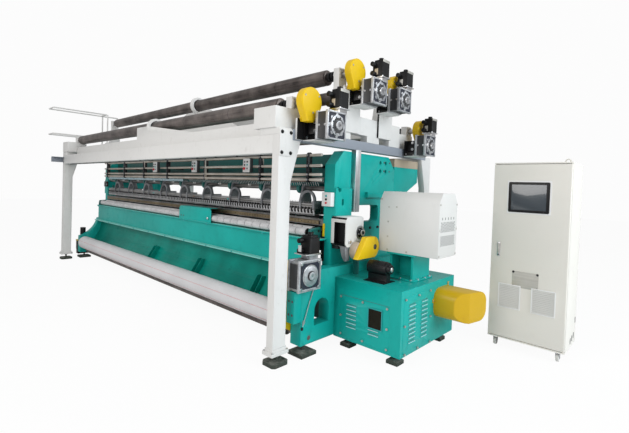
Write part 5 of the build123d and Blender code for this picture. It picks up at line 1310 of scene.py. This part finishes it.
makeFrameEdge(frameEdge)
print("knitting head and take-up dressed")


# Right-hand drive: cabinet screws, window, louvre lips in pale blue painted highlight with dark strips of
# painted shade under them, and panel seams
base = {"frontScrews": ((3321, 520), (3586, 519), (3856, 518), (3322, 336), (3859, 334), (3329, 153),
                        (3594, 151),
                        (3861, 149)),
        "rightScrews": ((-558, 621), (-566, 382), (-552, 123), (-318, 623), (-91, 628), (-75, 371),
                        (-69, 119),
                        (-315, 126)),
        "window": (3653, 3800, 300, 481), "front": -620, "right": 3995, "panel": (3305, 3877, 132, 536),
        "sidePanel": (-580, -60, 106, 638), "seam": 3, "seamHalf": 0.6, "louvrePitch": 42, "louvre": 116,
        "lipHighlight": (3, 4.5), "shade": (1.6, 5), "frontLouvres": (("frontLouvreLips", 3452, 236, 6),
                                                            ("windowLouvreLips", 3712, 235, 2)),
        "sideLouvres": (-430, -198), "sideCount": 9, "sideZ": (209.5, 223)}


# Four bars round an opening, the upright ones between the others
def barsRound(left, right, bottom, top, width):
    return ((left, right, bottom, bottom + width), (left, right, top - width, top),
            (left, left + width, bottom + width, top - width),
            (right - width, right, bottom + width, top - width))


def makeBaseDetails(s):
    low, high = edges("base_cabinet")
    front = facing([(x, low.y, z) for x, z in s["frontScrews"]], toFront)
    right = facing([(high.x, y, z) for y, z in s["rightScrews"]], toRight)
    fasten("baseCabinetScrews", "smallHex", front + right, "plate")
    left, far, bottom, top = s["window"]
    piece = Piece("baseWindow")
    piece.block((left + 4, low.y + 1, bottom + 4), (far - 4, low.y + 6, top - 4), "windowGlass", 1)
    for a, b, c, d in barsRound(left - 6, far + 6, bottom - 6, top + 6, 8):
        piece.block((a, low.y - 0.5, c), (b, low.y + 5, d), "tealSide", 1)
    piece.done("teal_paint")
    long, pitch = s["louvre"], (0, 0, s["louvrePitch"])
    lipDeep, lipTall = s["lipHighlight"]
    shadeDeep, shadeTall = s["shade"]
    for name, x, z, count in s["frontLouvres"]:
        # the lips are pale blue painted highlight; the Shade rows under them are painted shade
        row(name, (x, low.y + 1.2, z + 1.5), pitch, count, (long, lipDeep, lipTall), "iceHighlight",
            slotName="teal_paint")
        row(name + "Shade", (x, s["front"] - 2, z + 15), pitch, count, (long, shadeDeep, shadeTall), "slot",
            slotName="teal_paint")
    lipZ, shadeZ = s["sideZ"]
    for k, y in enumerate(s["sideLouvres"]):
        # side louvres: pale blue lips of painted highlight over strips of painted shade
        row("sideLouvreLips%d" % k, (high.x - 1.2, y, lipZ), pitch, s["sideCount"], (lipDeep, long, lipTall),
            "iceHighlight",
            slotName="teal_paint")
        row("sideLouvreShade%d" % k, (s["right"] + 2.6, y, shadeZ), pitch, s["sideCount"],
            (shadeDeep, long, shadeTall), "slot", slotName="teal_paint")
    makeSeams(s)


def makeSeams(s):
    seam, wide, half = Piece("basePanelSeams"), s["seam"], s["seamHalf"]
    a, b, c, d = s["panel"]
    for x1, x2, z1, z2 in ((a, b, c, c + wide), (a, b, d, d + wide), (a, a + wide, c, d),
                           (b - wide, b, c, d)):
        seam.block((x1, s["front"] - half, z1), (x2, s["front"] + half, z2), "slot")
    a, b, c, d = s["sidePanel"]
    for y1, y2, z1, z2 in ((a, b, c, c + wide), (a, b, d - wide, d), (a, a + wide, c, d),
                           (b - wide, b, c, d)):
        seam.block((s["right"] - half, y1, z1), (s["right"] + half, y2, z2), "slot")
    seam.done("teal_paint")


makeBaseDetails(base)
housing = {"front": -215, "right": 4123, "ventY": -172, "bands": (1084, 1216), "hole": (1.2, 11, 11),
           "pitch": (32, 28),
           "fields": ((0, 0, 10, 4), (16, 14, 9, 3)), "slotStart": (-150, 1338), "slotPitch": 62, "slots": 5,
           "slotSize": (1.4, 10, 24), "screws": ((3575, 1420), (3665, 1425), (3570, 1270), (3570, 1120),
                                                 (3570, 985),
                                                 (3790, 985), (3480, 1500)),
           "rightY": (-200, 160), "rightZ": (985, 1230, 1470)}


def makeHousingDetails(h):
    face = h["right"] + 0.2
    across, up = h["pitch"]
    # the vent holes and slots are dark shapes painted as shade
    for k, z in enumerate(h["bands"]):
        for n, (shift, lift, count, rows) in enumerate(h["fields"]):
            row("housingVent%d%d" % (k, n), (face, h["ventY"] + shift, z + lift), (0, across, 0), count,
                h["hole"],
                "slot", slotName="pale_grey_paint", rowStep=(0, 0, up), rows=rows, turn=(45, 0, 0))
    row("housingSlots", (face, *h["slotStart"]), (0, h["slotPitch"], 0), h["slots"], h["slotSize"], "slot",
        slotName="pale_grey_paint")
    screws = facing([(x, h["front"], z) for x, z in h["screws"]], toFront)
    screws += facing([(h["right"], y, z) for y in h["rightY"] for z in h["rightZ"]], toRight)
    fasten("housingScrews", "screw", screws, "plate")


makeHousingDetails(housing)


# Crank: the hub that turns, the ring and boss on its casting, the curved duct and the tray under it
crank = {"face": 3345, "shaft": 24, "washer": (3378, 20, 35), "boltRing": 45.5, "boltFace": 3362, "bolts": 6,
         "boss": (3345, -560, 1060), "duct": [(3262, 1012), (3332, 1012), (3338, 960), (3345, 900),
                                              (3345, 868),
                                              (3325, 868), (3296, 905), (3275, 960)],
         "ductY": -612, "ductDeep": 60, "tray": ((3160, -608, 978), (3240, -560, 1012))}
hubShape = [(48, 1), (52, 4), (52, 14), (46, 17), (40, 17), (40, 30), (36, 33), (18, 33), (18, 40), (15, 44)]
sealShape = [(56, 0), (70, 0), (72, 2), (70, 5), (56, 5)]
bossShape = [(20, 0), (20, 14), (15, 18), (8, 18)]


def makeCrankDetails(c):
    left = edges("crank_hub")[0].x
    y, z = middleOf("crank_hub")
    hub = Piece("crankHubTurned", "crank_hub")
    hub.rod((left, y, z), (c["face"], y, z), c["shaft"], "bright", 24)
    hub.lathe((c["face"], y, z), "x", hubShape, "black", 40)
    at, inner, outer = c["washer"]
    hub.lathe((at, y, z), "x", [(inner, 0), (outer - 1, 0), (outer, 1), (outer, 3), (outer - 1, 4),
                                (inner, 4)],
              "bright", 36, True)
    hub.done("black_paint", "crank_hub")
    ring = [(c["boltFace"], y + u, z + v) for u, v in ringOf(c["boltRing"], c["bolts"], 0.3)]
    fasten("crankHubBolts", "screw", facing(ring, toRight), "bright", "crank_hub")
    piece = Piece("castingDetails")
    piece.lathe((c["face"], y, z), "x", sealShape, "bright", 48, True)
    piece.lathe(c["boss"], "x", bossShape, "bright", 24)
    # the duct belongs to the white casting; its grey colour is painted shade
    piece.slab(c["duct"], "y", c["ductY"], c["ductDeep"], "grey", 3)
    piece.block(*c["tray"], "dark", 2)
    piece.done("white_paint")


makeCrankDetails(crank)


# Drive motor with its fins and end cap, bolts of the pedestal, rings on the belt guard and its shaft
motor = {"y": -425, "z": 830, "finRing": 66, "fins": 14, "finTurn": (20, 140), "finHalf": 2.4,
         "finX": (3560, 3706),
         "capX": 3759.5, "foot": ((3505, -522, 700), (3745, -328, 706)), "seat": 700, "footHalf": 63,
         "footX": (3545, 3700), "slot": ((3592, -254, 700), (3742, -230, 701.5))}
pedestalBolts = {"z": 712, "in": 13, "xs": (3600, 3730, 3850), "ys": (-120, 20, 120)}
capShape = [(2, 0), (24, 0), (24, 6), (18, 12), (2, 14)]
beltRings = (((3480, -302, 1006), [(20, -2), (24, 0.4), (27, 0.4), (28, -0.5), (28, -2)], "black", 32),
             ((3476, -302, 1006), [(4, 0), (21, 0), (21, 2), (4, 2)], "slot", 28),
             ((3420, -470, 965), [(24, 0), (52, 0), (54, 3), (54, 8), (50, 12), (24, 12)], "steel", 36))


def makeMotor(m):
    body = Piece("driveMotorFins")
    first, reach = m["finTurn"]
    left, right = m["finX"]
    half = m["finHalf"]
    for k in range(m["fins"]):
        t = math.radians(first + reach * k / (m["fins"] - 1))
        a, b = m["y"] + math.cos(t) * m["finRing"], m["z"] + math.sin(t) * m["finRing"]
        body.block((left, a - half, b - half), (right, a + half, b + half), "dark", 0.8)
    body.lathe((m["capX"], m["y"], m["z"]), "x", capShape, "bright", 32)
    body.block(*m["foot"], "black", 1)
    body.block(*m["slot"], "slot")
    body.done("black_paint")
    feet = [(x, m["y"] + way * m["footHalf"], m["seat"]) for x in m["footX"] for way in (-1, 1)]
    fasten("driveMotorFeetBolts", "smallHex", facing(feet, upward), "bright")


def makePedestal(p):
    low, high = edges("pedestal")
    places = [(x, low.y + p["in"], p["z"]) for x in p["xs"]]
    places += [(high.x - p["in"], y, p["z"]) for y in p["ys"]]
    fasten("pedestalBolts", "hex", facing(places, upward), "bright")
    guard = Piece("beltGuardDetails")
    for start, shape, finish, sides in beltRings:
        guard.lathe(start, "x", shape, finish, sides, True)
    guard.done("yellow_paint")


makeMotor(motor)
makePedestal(pedestalBolts)
frameBolts = {"face": 3200, "y": 293, "z": 1860, "halfY": 56.5, "halfZ": 50, "windowY": (0, 150),
              "windowZ": 1160}


def makeSideFrameBolts(f):
    holes = [(f["face"], f["y"] + u, f["z"] + v) for u, v in cornersOf(f["halfY"], f["halfZ"])]
    fasten("sideFrameHoles", "hole", facing(holes, toRight), "slot")
    bolts = [(f["face"], y, f["windowZ"]) for y in f["windowY"]]
    fasten("windowBracketBolts", "hex", facing(bolts, toRight), "dark")


makeSideFrameBolts(frameBolts)


# Yellow motor cover: a rounded box whose end is folded into two facets
cover = {"y": 184, "z": 479, "halfY": 187, "halfZ": 146, "round": 105, "end": 4206, "bend": 111, "lean": 0.22,
         "edge": 7, "lugs": ((319, 633), (-11, 506)), "lug": (16, 20, 10)}


def makeMotorCover(c):
    back = edges("motor_cover")[0].x
    outline = moved(roundedOutline(c["halfY"], c["halfZ"], c["round"], 8), c["y"], c["z"])
    left = c["y"] - c["halfY"]
    crease = left + c["round"]

    def reach(y):
        if y < crease:
            return c["end"] + (y - left) * c["bend"] / c["round"]
        return c["end"] + c["bend"] + (y - crease) * c["lean"]

    part = bmesh.new()
    near = [part.verts.new((back, y, z)) for y, z in outline]
    far = [part.verts.new((reach(y), y, z)) for y, z in outline]
    for k in range(len(outline)):
        n = (k + 1) % len(outline)
        part.faces.new([near[k], near[n], far[n], far[k]])
    part.faces.new(near)
    part.faces.new([v for v in far if v.co.y < crease + 0.1])
    part.faces.new([v for v in far if v.co.y > crease - 0.1])
    bmesh.ops.recalc_face_normals(part, faces=part.faces)
    rims = [e for e in part.edges if e.calc_face_angle(0) > 0.5 and max(v.co.x for v in e.verts) > back + 1]
    bmesh.ops.bevel(part, geom=rims, offset=c["edge"], segments=3, profile=0.6, affect="EDGES")
    piece = Piece("motorCoverFolded")
    piece.add(part, "coverYellow")
    for y, z in c["lugs"]:
        piece.slab(moved(roundedOutline(*c["lug"]), y, z), "x", back, 5, "coverYellow", 1)
        piece.rod((back + 4, y, z), (back + 9, y, z), 8, "plate", 12, 1)
    piece.done("yellow_paint", "motor_cover")


makeMotorCover(cover)
print("right-hand drive dressed")


# Control cabinet: screen, handle, plate and slatted vents on the door, hinges, glands and castors
doorSetup = {"front": 639.7, "out": 628.4, "screen": (4646, 1567, 200, 167), "handle": (4385, 1018, 15, 75),
             "plate": (4646, 735, 120, 82), "vents": ((4505, 548, 106, 124), (4815, 548, 106, 124)),
             "ventFrame": 10, "slats": 13, "slatIn": 19, "slatTurn": -28, "rivetIn": 10}


def makeDoorFittings(d):
    piece = Piece("doorFittingsDetailed", "cabinet_door")
    out, back = d["out"], d["front"]

    def panel(x, z, halfX, halfZ, corner, start, deep, finish, edge=0.0):
        piece.slab(moved(roundedOutline(halfX, halfZ, corner), x, z), "y", start, deep, finish, edge)

    x, z, halfX, halfZ = d["screen"]
    panel(x, z, halfX, halfZ, 6, back - 3, 3, "frameWhite", 1)
    panel(x, z, halfX - 14, halfZ - 14, 12, out + 1, 8, "black", 2)
    panel(x, z, halfX - 42, halfZ - 40, 3, out + 0.4, 2, "screenGlass", 0.3)
    x, z, halfX, halfZ = d["handle"]
    panel(x, z, halfX, halfZ, 13, out + 4, 7.5, "bright", 2)
    panel(x, z + 12, halfX - 5, halfZ - 26, 8, out + 0.2, 6, "plate", 2)
    piece.lathe((x, out + 4, z - 54), toFront, [(7, -1), (7, 2), (3, 3)], "dark", 20)
    x, z, halfX, halfZ = d["plate"]
    panel(x, z, halfX, halfZ, 4, back - 2, 2, "plate", 0.5)
    rivets = [(x + u, back - 2, z + v) for u, v in cornersOf(halfX - d["rivetIn"], halfZ - d["rivetIn"])]
    wide = d["ventFrame"]
    for x, z, halfX, halfZ in d["vents"]:
        for a, b, low, high in barsRound(x - halfX, x + halfX, z - halfZ, z + halfZ, wide):
            piece.block((a, out, low), (b, back, high), "frameWhite", 1.2)
        panel(x, z, halfX - wide + 1, halfZ - wide + 1, 1, back - 2, 1.5, "plastic")
    piece.done("grey_plastic", "door_fittings")
    for k, (x, z, halfX, halfZ) in enumerate(d["vents"]):
        pitch = 2 * (halfZ - d["slatIn"]) / (d["slats"] - 1)
        row("ventSlats%d" % k, (x, out + 4.6, z - halfZ + d["slatIn"]), (0, 0, pitch), d["slats"],
            (2 * (halfX - wide), 2.2, 15), "plastic", "cabinet_door", "grey_plastic",
            turn=(d["slatTurn"], 0, 0))
    fasten("plateRivets", "hole", facing(rivets, toFront), "dark", "cabinet_door")


makeDoorFittings(doorSetup)
castor = {"radius": 36, "in": 48, "plate": (40, 95, 100.5), "swivelZ": 84, "forkOut": 17, "width": 26,
          "axle": 21,
          "fork": ((-15, 88), (15, 88), (20, 60), (8, 30), (-8, 30), (-18, 60))}
swivelShape = [(22, 0), (27, 2), (27, 9), (22, 12)]


def makeCastors(c):
    low, high = edges("castors")
    r, wide = c["radius"], c["width"]
    half, bottom, top = c["plate"]
    wheel = [(8, 0), (r - 3, 0), (r, 3), (r, wide - 3), (r - 3, wide), (8, wide)]
    piece = Piece("castorsDetailed")
    for x in (low.x + c["in"], high.x - c["in"]):
        for y in (low.y + c["in"], high.y - c["in"]):
            piece.block((x - half, y - half, bottom), (x + half, y + half, top), "bright", 1.5)
            piece.lathe((x, y, c["swivelZ"]), "z", swivelShape, "bright", 28)
            for side in (-1, 1):
                piece.slab([(y + a, z) for a, z in c["fork"]], "x", x + side * c["forkOut"] - 1.5, 3,
                           "bright", 0.8)
            piece.lathe((x - wide / 2, y, r), "x", wheel, "plastic", 36)
            piece.rod((x - c["axle"], y, r), (x + c["axle"], y, r), 6, "bright", 12, 1)
    piece.done("pad_rubber", "castors")


makeCastors(castor)
cabinet = {"glands": ((900, 160), (975, 172), (1050, 184), (1105, 330)), "gland": (19, 32, 17),
           "gap": (6, 22, 118, 1890), "hingeZ": (260, 1010, 1760), "hingeIn": 9, "hingeHalf": 32,
           "hingeRadius": 6}


def makeCabinetDetails(c):
    low, high = edges("cabinet_body")
    piece = Piece("cabinetGlands")
    for y, z in c["glands"]:
        piece.slab(moved(roundedOutline(*c["gland"]), y, z), "x", high.x - 1.0, 1.2, "black")
    a, b, bottom, top = c["gap"]
    piece.block((low.x + a, low.y + b, bottom), (low.x + a + 2, low.y + b + 2, top), "slot")
    piece.done("white_paint")
    hinge = Piece("doorHinges", "cabinet_door")
    x, y, half = high.x - c["hingeIn"], low.y + c["hingeIn"], c["hingeHalf"]
    for z in c["hingeZ"]:
        hinge.rod((x, y, z - half), (x, y, z + half), c["hingeRadius"], "plate", 16, 1)
    hinge.done("white_paint")


makeCabinetDetails(cabinet)
print("control cabinet dressed")


# Floor and light
studio = {"floorSize": 60.0, "floorColor": (0.8, 0.8, 0.8, 1), "floorRough": 0.9, "worldLevel": 0.5,
          "backLevel": 0.975, "glow": 0.94, "aim": (0, 0, 1200)}
lamps = {"keyLight": {"place": (2500, -7500, 5200), "size": 5.0, "power": 300.0, "color": (1.0, 0.97, 0.94)},
         "sideLight": {"place": (10500, 500, 4200), "size": 5.0, "power": 455.0, "color": (0.90, 0.96, 1.0)}}


def makeFloor(s):
    bpy.ops.mesh.primitive_plane_add(size=s["floorSize"], location=(0, 0, 0))
    floor = bpy.context.object
    floor.name = "studioFloor"
    m = bpy.data.materials.new("studioWhite")
    m.use_nodes = True
    tree = m.node_tree
    shader = tree.nodes["Principled BSDF"]
    shader.inputs["Base Color"].default_value = s["floorColor"]
    shader.inputs["Roughness"].default_value = s["floorRough"]
    glow = tree.nodes.new("ShaderNodeEmission")
    ray = tree.nodes.new("ShaderNodeLightPath")
    mix = tree.nodes.new("ShaderNodeMixShader")
    link(tree, mathNode(tree, "MULTIPLY", ray.outputs["Is Camera Ray"], s["glow"]), mix.inputs[0])
    link(tree, shader.outputs[0], mix.inputs[1])
    link(tree, glow.outputs[0], mix.inputs[2])
    link(tree, mix.outputs[0], tree.nodes["Material Output"].inputs["Surface"])
    floor.data.materials.append(m)


def makeLight(s):
    world = bpy.data.worlds.new("studioWorld")
    scene.world = world
    world.use_nodes = True
    tree = world.node_tree
    back = tree.nodes["Background"]
    back.inputs["Color"].default_value = (1, 1, 1, 1)
    ray = tree.nodes.new("ShaderNodeLightPath")
    seen = mathNode(tree, "MAXIMUM", ray.outputs["Is Camera Ray"], ray.outputs["Is Transmission Ray"])
    link(tree, rangeNode(tree, seen, 0.0, 1.0, s["worldLevel"], s["backLevel"]), back.inputs["Strength"])
    for name, lampSetup in lamps.items():
        data = bpy.data.lights.new(name, "AREA")
        data.size = lampSetup["size"]
        data.energy = lampSetup["power"]
        data.color = lampSetup["color"]
        lamp = bpy.data.objects.new(name, data)
        scene.collection.objects.link(lamp)
        lamp.location = spot(*lampSetup["place"])
        lamp.rotation_mode = "QUATERNION"
        lamp.rotation_quaternion = (spot(*s["aim"]) - lamp.location).to_track_quat("-Z", "Y")


makeFloor(studio)
makeLight(studio)
print("studio ready")
